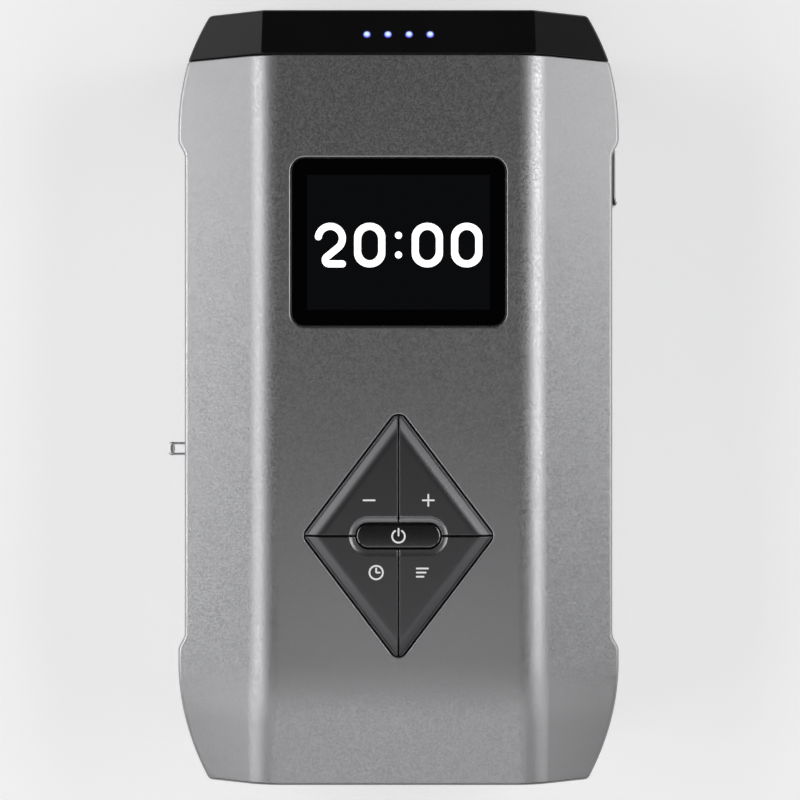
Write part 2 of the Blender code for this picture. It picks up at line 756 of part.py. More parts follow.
def casing_shell(name, section, rim_z, past_rim_z):
    """Half of the casing: a lofted solid with rounded end, hollowed by the same loft moved in by the wall."""
    def outer(y, inset=0):
        return section(y, inset, rim_z)

    rings = round_end(outer, -HALF_LENGTH, 1) + [outer(y) for y in casing_stations()]
    shell = loft(name, rings)
    inner_start = WALL - HALF_LENGTH
    places = [inner_start] + [y for y in casing_stations() if y > inner_start + MERGE]
    places.append(JUNCTION_Y + OVERRUN)
    cut(shell, loft(name + "_hollow", [section(y, WALL, past_rim_z) for y in places]))
    return shell


def port_surround():
    """Thick place in the wall round the charging port, with the cover's seat and hinge groove."""
    half = PORT_SIZE / 2 + PORT_SURROUND
    low = (PORT_X - PORT_FLOOR, COVER_END_Y - PORT_SURROUND / 2, PORT_HEIGHT - half)
    high = (RECESS_X - GAP, HINGE_Y + HINGE_ROOM + PORT_SURROUND / 2, PORT_HEIGHT + half)
    return block("port_surround", low, high)


def port_cutters():
    """Pocket before the socket, hole for its collar, seat of the cover, and the hinge's groove and holes."""
    half = PORT_SIZE / 2
    outside = HALF_WIDTH + OVERRUN
    pocket = block(
        "port_pocket",
        (PORT_X, PORT_Y - half, PORT_HEIGHT - half),
        (outside, PORT_Y + half, PORT_HEIGHT + half),
    )
    collar = rod(
        "port_collar_hole",
        COLLAR_RADIUS + GAP,
        (PORT_X - PORT_FLOOR - OVERRUN, PORT_Y, PORT_HEIGHT),
        (PORT_X + GAP, PORT_Y, PORT_HEIGHT),
        ROUND_SIDES,
    )
    reach = COVER_HEIGHT / 2 + GAP
    notch_end = HINGE_Y + HINGE_ROOM
    seat = block(
        "cover_seat",
        (RECESS_X, COVER_END_Y - GAP, PORT_HEIGHT - reach),
        (outside, notch_end, PORT_HEIGHT + reach),
    )
    groove = block(
        "hinge_groove",
        (HINGE_X - HINGE_RADIUS - GAP, HINGE_Y - HINGE_RADIUS - 2 * GAP, PORT_HEIGHT - reach),
        (outside, notch_end, PORT_HEIGHT + reach),
    )
    holes = rod(
        "hinge_pin_holes",
        HINGE_PIN_RADIUS + HINGE_PIN_CLEARANCE,
        (HINGE_X, HINGE_Y, PORT_HEIGHT - reach - HINGE_PIN_REACH),
        (HINGE_X, HINGE_Y, PORT_HEIGHT + reach + HINGE_PIN_REACH),
    )
    return pocket, collar, seat, groove, holes


def board_corners():
    half_width = BOARD_WIDTH / 2 - POST_INSET
    half_length = BOARD_LENGTH / 2 - POST_INSET
    return [(sx * half_width, BOARD_Y + sy * half_length) for sx, sy in QUARTERS]


def screw_places():
    return [(sx * SCREW_X, y) for y in (SCREW_BACK_Y, SCREW_FRONT_Y) for sx in SIDES]


def foot_places():
    return [(sx * FOOT_X, y) for y in (FOOT_BACK_Y, FOOT_FRONT_Y) for sx in SIDES]


def upper_casing():
    """Painted upper half, with the openings for the window, keys, port and eyelet, and the board's posts."""
    rim = SEAM_HEIGHT + GAP / 2
    shell = casing_shell("upper_casing", upper_section, rim, rim - OVERRUN)
    join(shell, port_surround())
    for i, (x, y) in enumerate(screw_places()):
        top = BODY_HEIGHT - WALL / 2 - max(abs(x) + BOSS_RADIUS - TOP_FACE_WIDTH / 2, 0) * TOP_SLOPE
        join(shell, rod(f"upper_boss_{i + 1}", BOSS_RADIUS, (x, y, rim), (x, y, top)))
        pilot_end = SCREW_SEAT_HEIGHT + SCREW_LENGTH + GAP
        start, end = (x, y, rim - OVERRUN), (x, y, pilot_end)
        cut(shell, rod(f"pilot_hole_{i + 1}", SCREW_SHANK_RADIUS + GAP, start, end))
    for i, (x, y) in enumerate(board_corners()):
        shoulder, tip = BOARD_TOP + GAP, BOARD_BASE - STAKE_PROUD
        top = CEILING + WALL / 2
        profile = [(0, top), (POST_RADIUS, top), (POST_RADIUS, shoulder), (STAKE_RADIUS, shoulder)]
        profile += [(STAKE_RADIUS, tip), (0, tip)]
        join(shell, turned(f"board_post_{i + 1}", profile, (x, y, 0), HIDDEN_SIDES))
    pocket_z = BODY_HEIGHT - WINDOW_THICKNESS - GAP
    above = BODY_HEIGHT + OVERRUN
    below = CEILING - OVERRUN
    pocket = rectangle(WINDOW_WIDTH, WINDOW_LENGTH, WINDOW_CORNER, 0, WINDOW_Y)
    opening = rectangle(
        WINDOW_WIDTH - 2 * WINDOW_LEDGE,
        WINDOW_LENGTH - 2 * WINDOW_LEDGE,
        WINDOW_CORNER - WINDOW_LEDGE,
        0,
        WINDOW_Y,
    )
    cut(shell, slab("window_pocket", pocket, pocket_z, above), slab("window_opening", opening, below, above))
    cut(shell, slab("keypad_opening", diamond(), below, above))
    cut(shell, *port_cutters())
    for name, side in (("front", -1), ("back", 1)):
        y = EYELET_Y + side * EYELET_WIDTH / 2
        start, end = (-HALF_WIDTH, y, EYELET_HEIGHT), (-RECESS_X + WALL + OVERRUN, y, EYELET_HEIGHT)
        cut(shell, rod("eyelet_hole_" + name, EYELET_WIRE + GAP, start, end))
    return silver_paint(shell)


def lip_band(name, inset, thickness, low, high):
    """Band that follows the inside of the casing round its lower end, at an inset."""
    stop = JUNCTION_Y - CAP_TONGUE_LENGTH - CAP_TONGUE_THICKNESS

    def path(depth):
        start = depth - HALF_LENGTH
        places = [y for y in casing_stations() if start + depth < y < stop - depth]
        right = [(side_x(y) - depth, y) for y in [stop] + places[::-1] + [start]]
        return right + [(-x, y) for x, y in right[::-1]]

    return slab(name, path(inset) + path(inset + thickness)[::-1], low, high)


def lower_casing():
    """Painted lower half, with the lip at its seam, screw wells, foot pockets, vents and manifold pillars."""
    rim = SEAM_HEIGHT - GAP / 2
    shell = casing_shell("lower_casing", lower_section, rim, rim + OVERRUN)
    root = lip_band("lip_root", WALL - EMBED, EMBED + GAP + LIP_THICKNESS, rim - LIP_ROOT, rim - EMBED)
    lip = lip_band("lip", WALL + GAP, LIP_THICKNESS, rim - LIP_ROOT / 2, rim + LIP_HEIGHT)
    join(shell, root, lip)
    for i, (x, y) in enumerate(screw_places()):
        join(shell, rod(f"lower_boss_{i + 1}", BOSS_RADIUS, (x, y, WALL / 2), (x, y, rim)))
        cut(
            shell,
            rod(f"screw_well_{i + 1}", SCREW_WELL_RADIUS, (x, y, -OVERRUN), (x, y, SCREW_SEAT_HEIGHT)),
            rod(f"screw_hole_{i + 1}", SCREW_SHANK_RADIUS + GAP, (x, y, 0), (x, y, rim + OVERRUN)),
        )
    for i, (x, y) in enumerate(foot_places()):
        low, high = (x, y, -OVERRUN), (x, y, FOOT_SINK)
        cut(shell, rod(f"foot_pocket_{i + 1}", FOOT_RADIUS + GAP, low, high, ROUND_SIDES))
    for i in range(VENT_COUNT):
        y = VENT_Y + (i - (VENT_COUNT - 1) / 2) * VENT_SPACING
        outline = [(x, y + across) for x, across in stadium(VENT_LENGTH, VENT_WIDTH)]
        cut(shell, slab(f"vent_{i + 1}", outline, -OVERRUN, WALL + OVERRUN))
    for name, side in (("left", -1), ("right", 1)):
        x = side * PILLAR_X
        low = (x - PILLAR_WIDTH / 2, VALVE_Y - PILLAR_DEPTH / 2, WALL / 2)
        high = (x + PILLAR_WIDTH / 2, VALVE_Y + PILLAR_DEPTH / 2, MANIFOLD_BASE - GAP)
        join(shell, block("manifold_pillar_" + name, low, high))
    return silver_paint(shell)


def outlet_outline(grow=0):
    return rectangle(OUTLET_WIDTH + 2 * grow, OUTLET_HEIGHT + 2 * grow, OUTLET_CORNER + grow)


def outlet_prism(name, x, grow, start_y, end_y):
    """Straight solid along Y with the outline of an air outlet, grown all round."""
    ring = outlet_outline(grow)
    return loft(name, [[(x + a, y, OUTLET_Z + b) for a, b in ring] for y in (start_y, end_y)])


def cap_facet():
    """Empty on the middle of the cap's sloping facet, its Z axis square to the facet."""
    y = JUNCTION_Y + LIGHT_FROM_SEAM
    frame = bpy.data.objects.new("cap_facet", None)
    PARTS.objects.link(frame)
    frame.location = (0, y, top_z(y))
    frame.rotation_euler.x = -math.atan2(CAP_DROP, CAP_LENGTH)
    return frame


def light_places():
    return [(i - (CHANNELS - 1) / 2) * LIGHT_SPACING for i in range(CHANNELS)]


def end_cap(facet):
    """Glossy black cup that closes the end, with a tongue that slides inside both casings."""
    start = JUNCTION_Y + GAP
    tongue_end = JUNCTION_Y - CAP_TONGUE_LENGTH
    tongue = WALL + GAP
    inner = tongue + CAP_TONGUE_THICKNESS
    outer = round_end(whole_section, HALF_LENGTH, -1)
    outer += [whole_section(y, 0) for y in np.linspace(HALF_LENGTH - END_RADIUS, start, SWEEP_STEPS)]
    casing = TOP_CREASE_RADIUS
    rings = outer + [whole_section(start, tongue, casing), whole_section(tongue_end, tongue, casing)]
    inner_end = start + CAP_TONGUE_THICKNESS / 2
    rings += [whole_section(tongue_end, inner, casing), whole_section(inner_end, inner, casing)]
    rings += [whole_section(start + CAP_TONGUE_THICKNESS, WALL), whole_section(HALF_LENGTH - WALL, WALL)]
    cap = loft("end_cap", rings)
    for name, side in (("left", -1), ("right", 1)):
        inside, outside = HALF_LENGTH - WALL - OVERRUN, HALF_LENGTH + OVERRUN
        cut(cap, outlet_prism("outlet_hole_" + name, side * OUTLET_X, GAP, inside, outside))
    for i, x in enumerate(light_places()):
        hole = rod(f"light_hole_{i + 1}", LIGHT_RADIUS + GAP, (x, 0, -WALL - OVERRUN), (x, 0, OVERRUN))
        hole.parent = facet
        cut(cap, hole)
    return black_gloss(cap)


def light_guide(facet):
    """Clear bar with one round tip for each light."""
    top = -WALL - GAP
    reach = (CHANNELS - 1) / 2 * LIGHT_SPACING + LIGHT_BAR_WIDTH / 2
    low = (-reach, -LIGHT_BAR_WIDTH / 2, top - LIGHT_BAR_THICKNESS)
    guide = block("light_guide", low, (reach, LIGHT_BAR_WIDTH / 2, top))
    guide.parent = facet
    for i, x in enumerate(light_places()):
        tip = rod(f"light_tip_{i + 1}", LIGHT_RADIUS, (x, 0, top - LIGHT_BAR_THICKNESS / 2), (x, 0, 0))
        tip.parent = facet
        join(guide, tip)
    return clear_plastic(guide)


def light_board(facet):
    """Small board behind the light guide, with a light chip under each tip."""
    chip_top = -WALL - GAP - LIGHT_BAR_THICKNESS - GAP
    top = chip_top - LIGHT_CHIP_HEIGHT
    reach = (CHANNELS - 1) / 2 * LIGHT_SPACING + LIGHT_BOARD_WIDTH / 2
    low = (-reach, -LIGHT_BOARD_WIDTH / 2, top - LIGHT_BOARD_THICKNESS)
    board = block("light_board", low, (reach, LIGHT_BOARD_WIDTH / 2, top))
    board.parent = facet
    for i, x in enumerate(light_places()):
        half = LIGHT_CHIP_SIZE / 2
        chip = block(f"light_chip_{i + 1}", (x - half, -half, top - EMBED), (x + half, half, chip_top))
        chip.parent = facet
        join(board, chip)
    return circuit_green(board)


def display_window():
    outline = rectangle(WINDOW_WIDTH - 2 * GAP, WINDOW_LENGTH - 2 * GAP, WINDOW_CORNER - GAP, 0, WINDOW_Y)
    return black_gloss(slab("display_window", outline, BODY_HEIGHT - WINDOW_THICKNESS, BODY_HEIGHT))


def display_module():
    """Metal frame with the glass of the display set into it."""
    outline = rectangle(MODULE_WIDTH, MODULE_LENGTH, MODULE_FRAME / 2, 0, WINDOW_Y)
    glass_width, glass_length = MODULE_WIDTH - 2 * MODULE_FRAME, MODULE_LENGTH - 2 * MODULE_FRAME
    glass = rectangle(glass_width, glass_length, INNER_RADIUS, 0, WINDOW_Y)
    module = slab("display_module", outline, MODULE_BASE, MODULE_TOP)
    cut(module, slab("display_glass_recess", glass, MODULE_TOP - MODULE_GLASS_SINK, MODULE_TOP + OVERRUN))
    return dull_steel(module)


def pill(grow):
    """Outline of the power key, grown all round."""
    return [(x, KEYPAD_Y + y) for x, y in stadium(POWER_LENGTH, POWER_WIDTH, grow)]


def quadrant_key(name, side_x_sign, side_y_sign):
    """Quarter of the keypad: a flanged cap with a broad sloping edge and a dished cut for the power key."""
    edge = BODY_HEIGHT - KEY_EDGE_SINK
    levels = [
        (KEY_BASE, diamond(-KEY_FLANGE_WIDTH)),
        (KEY_LEDGE, diamond(-KEY_FLANGE_WIDTH)),
        (KEY_LEDGE, diamond(KEY_GAP)),
        (edge, diamond(KEY_GAP)),
        (KEY_TOP, diamond(KEY_GAP + KEY_SLOPE_WIDTH)),
    ]
    key = upright_loft(name, levels)
    near, far = KEY_GAP / 2, KEYPAD_LENGTH
    xs = sorted((side_x_sign * near, side_x_sign * far))
    ys = sorted((KEYPAD_Y + side_y_sign * near, KEYPAD_Y + side_y_sign * far))
    quarter = block(name + "_quarter", (xs[0], ys[0], KEY_BASE - OVERRUN), (xs[1], ys[1], KEY_TOP + OVERRUN))
    combine(key, quarter, "INTERSECT")
    dish = [
        (KEY_BASE - OVERRUN, pill(KEY_GAP)),
        (KEY_TOP - DISH_DEPTH, pill(KEY_GAP)),
        (KEY_TOP, pill(DISH_WIDTH)),
        (KEY_TOP + OVERRUN, pill(DISH_WIDTH)),
    ]
    cut(key, upright_loft(name + "_dish", dish))
    centre = key_centre(side_x_sign, side_y_sign)
    move_origin(key, (*centre, KEY_TOP))
    return grey_key(key)


def key_centre(side_x_sign, side_y_sign):
    x = side_x_sign * KEYPAD_WIDTH / 2 * KEY_CENTRE_SHARE
    y = KEYPAD_Y + side_y_sign * KEYPAD_LENGTH / 2 * KEY_CENTRE_SHARE
    return x, y


def power_key():
    """Pill-shaped key in the middle of the keypad."""
    top = BODY_HEIGHT + POWER_RISE
    levels = [(KEY_BASE, pill(0)), (top - POWER_BEVEL, pill(0)), (top, pill(-POWER_BEVEL))]
    key = upright_loft("power_key", levels)
    move_origin(key, (0, KEYPAD_Y, top))
    return black_satin(key)


def key_mat():
    """Silicone sheet on the board with a dome under every key."""
    mat = slab("key_mat", diamond(-KEY_FLANGE_WIDTH), MAT_BASE, MAT_TOP)
    centres = [key_centre(*quarter) for quarter in QUARTERS] + [(0, KEYPAD_Y)]
    for i, (x, y) in enumerate(centres):
        low, high = (x, y, MAT_TOP - EMBED), (x, y, DOME_TOP)
        join(mat, rod(f"key_dome_{i + 1}", DOME_FOOT_RADIUS, low, high, SMALL_SIDES, DOME_TOP_RADIUS))
    return pale_silicone(mat)


def main_board():
    """Circuit board staked to the posts of the upper casing, with its larger chips underneath."""
    outline = rectangle(BOARD_WIDTH, BOARD_LENGTH, BOARD_CORNER, 0, BOARD_Y)
    board = slab("main_board", outline, BOARD_BASE, BOARD_TOP)
    for i, (x_share, y_share, width_share, length_share) in enumerate(CHIP_SHARES):
        x, y = x_share * BOARD_WIDTH, BOARD_Y + y_share * BOARD_LENGTH
        w, h = width_share * BOARD_WIDTH / 2, length_share * BOARD_LENGTH / 2
        low, high = (x - w, y - h, BOARD_BASE - CHIP_THICKNESS), (x + w, y + h, BOARD_BASE + EMBED)
        join(board, block(f"chip_{i + 1}", low, high))
    for i, (x, y) in enumerate(board_corners()):
        low, high = (x, y, BOARD_BASE - OVERRUN), (x, y, BOARD_TOP + OVERRUN)
        cut(board, rod(f"stake_hole_{i + 1}", STAKE_RADIUS + GAP, low, high, HIDDEN_SIDES))
    return circuit_green(board)


def buzzer():
    top = BOARD_BASE - GAP
    base = top - BUZZER_HEIGHT
    hole = BUZZER_RADIUS / 5
    profile = [(0, top), (BUZZER_RADIUS, top), (BUZZER_RADIUS, base), (hole, base), (hole, base + hole)]
    return black_satin(turned("buzzer", profile + [(0, base + hole)], (BUZZER_X, BUZZER_Y, 0)))


def charging_socket():
    """Round power jack: a block behind the port's floor with a collar through it, a bore and a centre pin."""
    face = PORT_X - PORT_FLOOR - GAP
    back = face - SOCKET_LENGTH
    low = (back, PORT_Y - SOCKET_WIDTH / 2, PORT_HEIGHT - SOCKET_HEIGHT / 2)
    high = (face, PORT_Y + SOCKET_WIDTH / 2, PORT_HEIGHT + SOCKET_HEIGHT / 2)
    socket = block("charging_socket", low, high)

    def along(name, radius, start, end):
        return rod(name, radius, (start, PORT_Y, PORT_HEIGHT), (end, PORT_Y, PORT_HEIGHT), ROUND_SIDES)

    join(socket, along("jack_collar", COLLAR_RADIUS, face - EMBED, PORT_X))
    cut(socket, along("jack_bore", JACK_RADIUS, PORT_X - JACK_DEPTH, PORT_X + OVERRUN))
    join(socket, along("jack_pin", JACK_PIN_RADIUS, PORT_X - JACK_DEPTH - EMBED, PORT_X - EMBED))
    return black_satin(socket)


def charging_cover():
    """Thin cover on the recess floor, with a finger lip at one end and a hinge barrel at the other."""
    inner = RECESS_X + GAP
    outer = inner + COVER_THICKNESS
    barrel_top = HINGE_X + HINGE_RADIUS
    outline = [
        (inner, COVER_END_Y),
        (outer + COVER_LIP, COVER_END_Y),
        (outer + COVER_LIP, COVER_END_Y + COVER_LIP_LENGTH / 3),
        (outer, COVER_END_Y + COVER_LIP_LENGTH),
        (outer, HINGE_Y - 2 * HINGE_RADIUS),
        (barrel_top, HINGE_Y),
        (inner, HINGE_Y),
    ]
    half = COVER_HEIGHT / 2
    cover = slab("charging_cover", outline, PORT_HEIGHT - half, PORT_HEIGHT + half)
    low, high = (HINGE_X, HINGE_Y, PORT_HEIGHT - half), (HINGE_X, HINGE_Y, PORT_HEIGHT + half)
    join(cover, rod("cover_barrel", HINGE_RADIUS, low, high, SMALL_SIDES))
    reach = half + GAP + HINGE_PIN_REACH - GAP
    low, high = (HINGE_X, HINGE_Y, PORT_HEIGHT - reach), (HINGE_X, HINGE_Y, PORT_HEIGHT + reach)
    join(cover, rod("cover_pins", HINGE_PIN_RADIUS, low, high))
    move_origin(cover, (HINGE_X, HINGE_Y, PORT_HEIGHT))
    return grey_key(cover)


def strap_eyelet():
    """Polished wire bent to a U, its two legs through the wall."""
    radius = EYELET_WIDTH / 2
    tail = -RECESS_X + WALL + EYELET_TAIL
    bend = -RECESS_X - EYELET_REACH + EYELET_WIRE + radius
    turns = np.linspace(math.pi / 2, 3 * math.pi / 2, 2 * CORNER_STEPS + 1)
    bow = [(bend + radius * math.cos(a), radius * math.sin(a)) for a in turns]
    points = [(tail, radius)] + bow + [(tail, -radius)]
    curve = bpy.data.curves.new("strap_eyelet", "CURVE")
    curve.dimensions = "3D"
    curve.bevel_depth = EYELET_WIRE
    curve.bevel_resolution = 2
    curve.use_fill_caps = True
    line = curve.splines.new("POLY")
    line.points.add(len(points) - 1)
    line.points.foreach_set("co", [value for x, y in points for value in (x, y, 0, 1)])
    eyelet = bpy.data.objects.new("strap_eyelet", curve)
    PARTS.objects.link(eyelet)
    eyelet.location = (0, EYELET_Y, EYELET_HEIGHT)
    return bright_metal(eyelet)


def feet():
    """Rubber discs pressed into the pockets of the underside."""
    top, base = FOOT_SINK - GAP, -FOOT_PROUD
    profile = [(0, top), (FOOT_RADIUS, top), (FOOT_RADIUS, base + FOOT_BEVEL)]
    profile += [(FOOT_RADIUS - FOOT_BEVEL, base), (0, base)]
    for i, (x, y) in enumerate(foot_places()):
        dark_rubber(turned(f"foot_{i + 1}", profile, (x, y, 0)))


def casing_screws():
    """Screws that come up through the wells of the lower casing into the bosses of the upper one."""
    seat = SCREW_SEAT_HEIGHT - GAP
    head = seat - SCREW_HEAD_HEIGHT
    tip = seat + SCREW_LENGTH
    shank, bevel = SCREW_SHANK_RADIUS, SCREW_SHANK_RADIUS / 2
    profile = [(0, tip), (bevel, tip), (shank, tip - bevel), (shank, seat), (SCREW_HEAD_RADIUS, seat)]
    profile += [(SCREW_HEAD_RADIUS, head), (0, head)]
    for i, (x, y) in enumerate(screw_places()):
        screw = turned(f"casing_screw_{i + 1}", profile, (x, y, 0), SMALL_SIDES)
        reach, half = SCREW_HEAD_RADIUS * 2 / 3, SCREW_SLOT_WIDTH / 2
        for name, across, along in (("slot_a", reach, half), ("slot_b", half, reach)):
            low = (x - across, y - along, head - OVERRUN)
            high = (x + across, y + along, head + SCREW_SLOT_DEPTH)
            cut(screw, block(f"screw_{i + 1}_{name}", low, high))
        dull_steel(screw)


def channel_places(x):
    return [x + (i - (CHANNELS - 1) / 2) * CHANNEL_SPACING for i in range(CHANNELS)]


def outlet_socket(name, x):
    """Air outlet: a recess for the hose plug, with one bore for each air channel in its floor."""
    front, back = HALF_LENGTH - GAP, HALF_LENGTH - GAP - OUTLET_LENGTH
    socket = outlet_prism(name, x, 0, back, front)
    join(socket, outlet_prism(name + "_flange", x, OUTLET_FLANGE, back, HALF_LENGTH - WALL - GAP))
    cut(socket, outlet_prism(name + "_recess", x, -OUTLET_RIM, front - OUTLET_DEPTH, front + OVERRUN))
    for i, place in enumerate(channel_places(x)):
        start, end = (place, back - OVERRUN, OUTLET_Z), (place, front, OUTLET_Z)
        cut(socket, rod(f"{name}_bore_{i + 1}", CHANNEL_RADIUS, start, end, HIDDEN_SIDES))
    return dark_rubber(socket)


def valve_manifold():
    """Air block behind the sockets, with a port for each channel, valve seats and the pump's nozzle."""
    half = MANIFOLD_WIDTH / 2
    low, high = (-half, MANIFOLD_BACK_Y, MANIFOLD_BASE), (half, MANIFOLD_FRONT_Y, MANIFOLD_TOP)
    manifold = block("valve_manifold", low, high)
    for side in SIDES:
        for i, x in enumerate(channel_places(side * OUTLET_X)):
            start = (x, MANIFOLD_FRONT_Y - MANIFOLD_PORT_DEPTH, OUTLET_Z)
            end = (x, MANIFOLD_FRONT_Y + OVERRUN, OUTLET_Z)
            cut(manifold, rod(f"manifold_port_{side}_{i + 1}", CHANNEL_RADIUS, start, end, HIDDEN_SIDES))
    for i, x in enumerate(valve_places()):
        low, high = (x, VALVE_Y, MANIFOLD_TOP - MANIFOLD_PORT_DEPTH), (x, VALVE_Y, MANIFOLD_TOP + OVERRUN)
        cut(manifold, rod(f"valve_seat_{i + 1}", CHANNEL_RADIUS, low, high, HIDDEN_SIDES))
    tip = (0, MANIFOLD_BACK_Y - NOZZLE_LENGTH, OUTLET_Z)
    join(manifold, rod("manifold_nozzle", NOZZLE_RADIUS, tip, (0, MANIFOLD_BACK_Y + EMBED, OUTLET_Z)))
    start = (0, MANIFOLD_BACK_Y - NOZZLE_LENGTH - OVERRUN, OUTLET_Z)
    end = (0, MANIFOLD_BACK_Y + MANIFOLD_PORT_DEPTH, OUTLET_Z)
    cut(manifold, rod("manifold_inlet", NOZZLE_BORE_RADIUS, start, end, HIDDEN_SIDES))
    return white_nylon(manifold)


def valve_places():
    return [(i - (CHANNELS - 1) / 2) * VALVE_SPACING for i in range(CHANNELS)]


def solenoid_valve(number, x):
    """Coil between the plates of a folded steel yoke, with a bore for the plunger."""
    def piece(name, low_share, high_share, base, top):
        low = (x - VALVE_WIDTH / 2, VALVE_Y + low_share * VALVE_DEPTH, base)
        high = (x + VALVE_WIDTH / 2, VALVE_Y + high_share * VALVE_DEPTH, top)
        return block(name, low, high)

    half_share, web_share = 0.5, 0.36
    name = f"solenoid_valve_{number}"
    valve = piece(name, -half_share, half_share, VALVE_BASE, VALVE_BASE + VALVE_PLATE)
    join(valve, piece(name + "_web", -half_share, -web_share, VALVE_BASE, VALVE_TOP))
    join(valve, piece(name + "_top_plate", -half_share, half_share, VALVE_TOP - VALVE_PLATE, VALVE_TOP))
    low, high = (x, VALVE_Y, VALVE_BASE + EMBED), (x, VALVE_Y, VALVE_TOP - EMBED)
    join(valve, rod(name + "_coil", COIL_RADIUS, low, high, ROUND_SIDES))
    bottom = VALVE_TOP - PLUNGER_LENGTH - PLUNGER_TRAVEL - GAP
    low, high = (x, VALVE_Y, bottom), (x, VALVE_Y, VALVE_TOP + OVERRUN)
    cut(valve, rod(name + "_bore", PLUNGER_RADIUS + GAP, low, high))
    return dull_steel(valve)


def valve_plunger(number, x):
    """Plunger with a head, held out by the stroke and pulled in by the coil."""
    shoulder = VALVE_TOP + PLUNGER_TRAVEL + GAP
    profile = [
        (0, PLUNGER_HEAD_HEIGHT),
        (PLUNGER_HEAD_RADIUS, PLUNGER_HEAD_HEIGHT),
        (PLUNGER_HEAD_RADIUS, 0),
        (PLUNGER_RADIUS, 0),
        (PLUNGER_RADIUS, -PLUNGER_LENGTH),
        (0, -PLUNGER_LENGTH),
    ]
    return bright_metal(turned(f"valve_plunger_{number}", profile, (x, VALVE_Y, shoulder), SMALL_SIDES))


def pressure_sensor():
    y, half = MANIFOLD_BACK_Y - GAP, SENSOR_SIZE / 2
    low, high = (SENSOR_X - half, y - SENSOR_DEPTH, OUTLET_Z - half), (SENSOR_X + half, y, OUTLET_Z + half)
    return black_satin(block("pressure_sensor", low, high))


def motor_can():
    """Deep steel can with a bearing hole in its closed end."""
    hole = SHAFT_RADIUS + SHAFT_CLEARANCE
    inner = MOTOR_RADIUS - MOTOR_WALL
    profile = [
        (inner, MOTOR_LENGTH),
        (MOTOR_RADIUS, MOTOR_LENGTH),
        (MOTOR_RADIUS, 0),
        (hole, 0),
        (hole, MOTOR_WALL),
        (inner, MOTOR_WALL),
    ]
    return dull_steel(turned("motor_can", profile, (0, MOTOR_START_Y, PUMP_Z), ROUND_SIDES, True, True))


def motor_plate():
    hole = SHAFT_RADIUS + SHAFT_CLEARANCE
    thickness = MOTOR_PLATE_THICKNESS
    profile = [(hole, thickness), (MOTOR_RADIUS, thickness), (MOTOR_RADIUS, 0), (hole, 0)]
    return black_satin(turned("motor_plate", profile, (0, PLATE_START_Y, PUMP_Z), ROUND_SIDES, True, True))


def motor_rotor():
    """Armature and shaft, with the crank disc and its offset pin in the pump body."""
    start = MOTOR_WALL + GAP
    armature_start = ARMATURE_INSET
    armature_end = MOTOR_LENGTH - ARMATURE_INSET
    crank_start = PUMP_START_Y - MOTOR_START_Y + PUMP_WALL + GAP
    crank_end = crank_start + CRANK_THICKNESS
    profile = [
        (0, crank_end),
        (CRANK_RADIUS, crank_end),
        (CRANK_RADIUS, crank_start),
        (SHAFT_RADIUS, crank_start),
        (SHAFT_RADIUS, armature_end),
        (ARMATURE_RADIUS, armature_end),
        (ARMATURE_RADIUS, armature_start),
        (SHAFT_RADIUS, armature_start),
        (SHAFT_RADIUS, -start),
        (0, -start),
    ]
    rotor = turned("motor_rotor", profile, (0, MOTOR_START_Y, PUMP_Z), ROUND_SIDES, False, True)
    y, z = MOTOR_START_Y + crank_end, PUMP_Z + CRANK_OFFSET
    join(rotor, rod("crank_pin", CRANK_PIN_RADIUS, (0, y - EMBED, z), (0, y + CRANK_PIN_LENGTH, z)))
    return dull_steel(rotor)


def pump_body():
    """Cup bolted to the motor plate, open towards the diaphragm."""
    hole = SHAFT_RADIUS + SHAFT_CLEARANCE
    inner = PUMP_RADIUS - PUMP_WALL
    profile = [
        (inner, PUMP_BODY_LENGTH),
        (PUMP_RADIUS, PUMP_BODY_LENGTH),
        (PUMP_RADIUS, 0),
        (hole, 0),
        (hole, PUMP_WALL),
        (inner, PUMP_WALL),
    ]
    return black_satin(turned("pump_body", profile, (0, PUMP_START_Y, PUMP_Z), ROUND_SIDES, True, True))


def cup_places():
    turns = [math.tau * i / DIAPHRAGM_CUPS for i in range(DIAPHRAGM_CUPS)]
    return [(DIAPHRAGM_CUP_CIRCLE * math.sin(a), PUMP_Z + DIAPHRAGM_CUP_CIRCLE * math.cos(a)) for a in turns]


def wobble_plate():
    """Plate that the crank pin rocks, with a hub round the pin, clipped to the diaphragm's cups."""
    cup_end = DIAPHRAGM_Y - DIAPHRAGM_CUP_DEPTH
    front = cup_end - GAP
    back = front - WOBBLE_THICKNESS
    room = CRANK_OFFSET + CRANK_PIN_RADIUS + GAP
    hub_back = back - WOBBLE_HUB_LENGTH + WOBBLE_THICKNESS
    profile = [
        (0, front),
        (WOBBLE_RADIUS, front),
        (WOBBLE_RADIUS, back),
        (WOBBLE_HUB_RADIUS, back),
        (WOBBLE_HUB_RADIUS, hub_back),
        (room, hub_back),
        (room, front - WOBBLE_THICKNESS / 2),
        (0, front - WOBBLE_THICKNESS / 2),
    ]
    return white_nylon(turned("wobble_plate", profile, (0, 0, PUMP_Z), ROUND_SIDES, False, True))


def diaphragm():
    """Rubber disc clamped between pump body and cover, with a cup for each air chamber."""
    end = DIAPHRAGM_Y + DIAPHRAGM_THICKNESS
    disc = rod("diaphragm", PUMP_RADIUS, (0, DIAPHRAGM_Y, PUMP_Z), (0, end, PUMP_Z), ROUND_SIDES)
    for i, (x, z) in enumerate(cup_places()):
        start, tip = (x, DIAPHRAGM_Y + EMBED, z), (x, DIAPHRAGM_Y - DIAPHRAGM_CUP_DEPTH, z)
        root_radius, tip_radius = DIAPHRAGM_CUP_RADIUS, DIAPHRAGM_CUP_RADIUS / 2
        join(disc, rod(f"diaphragm_cup_{i + 1}", root_radius, start, tip, SMALL_SIDES, tip_radius))
    return dark_rubber(disc)


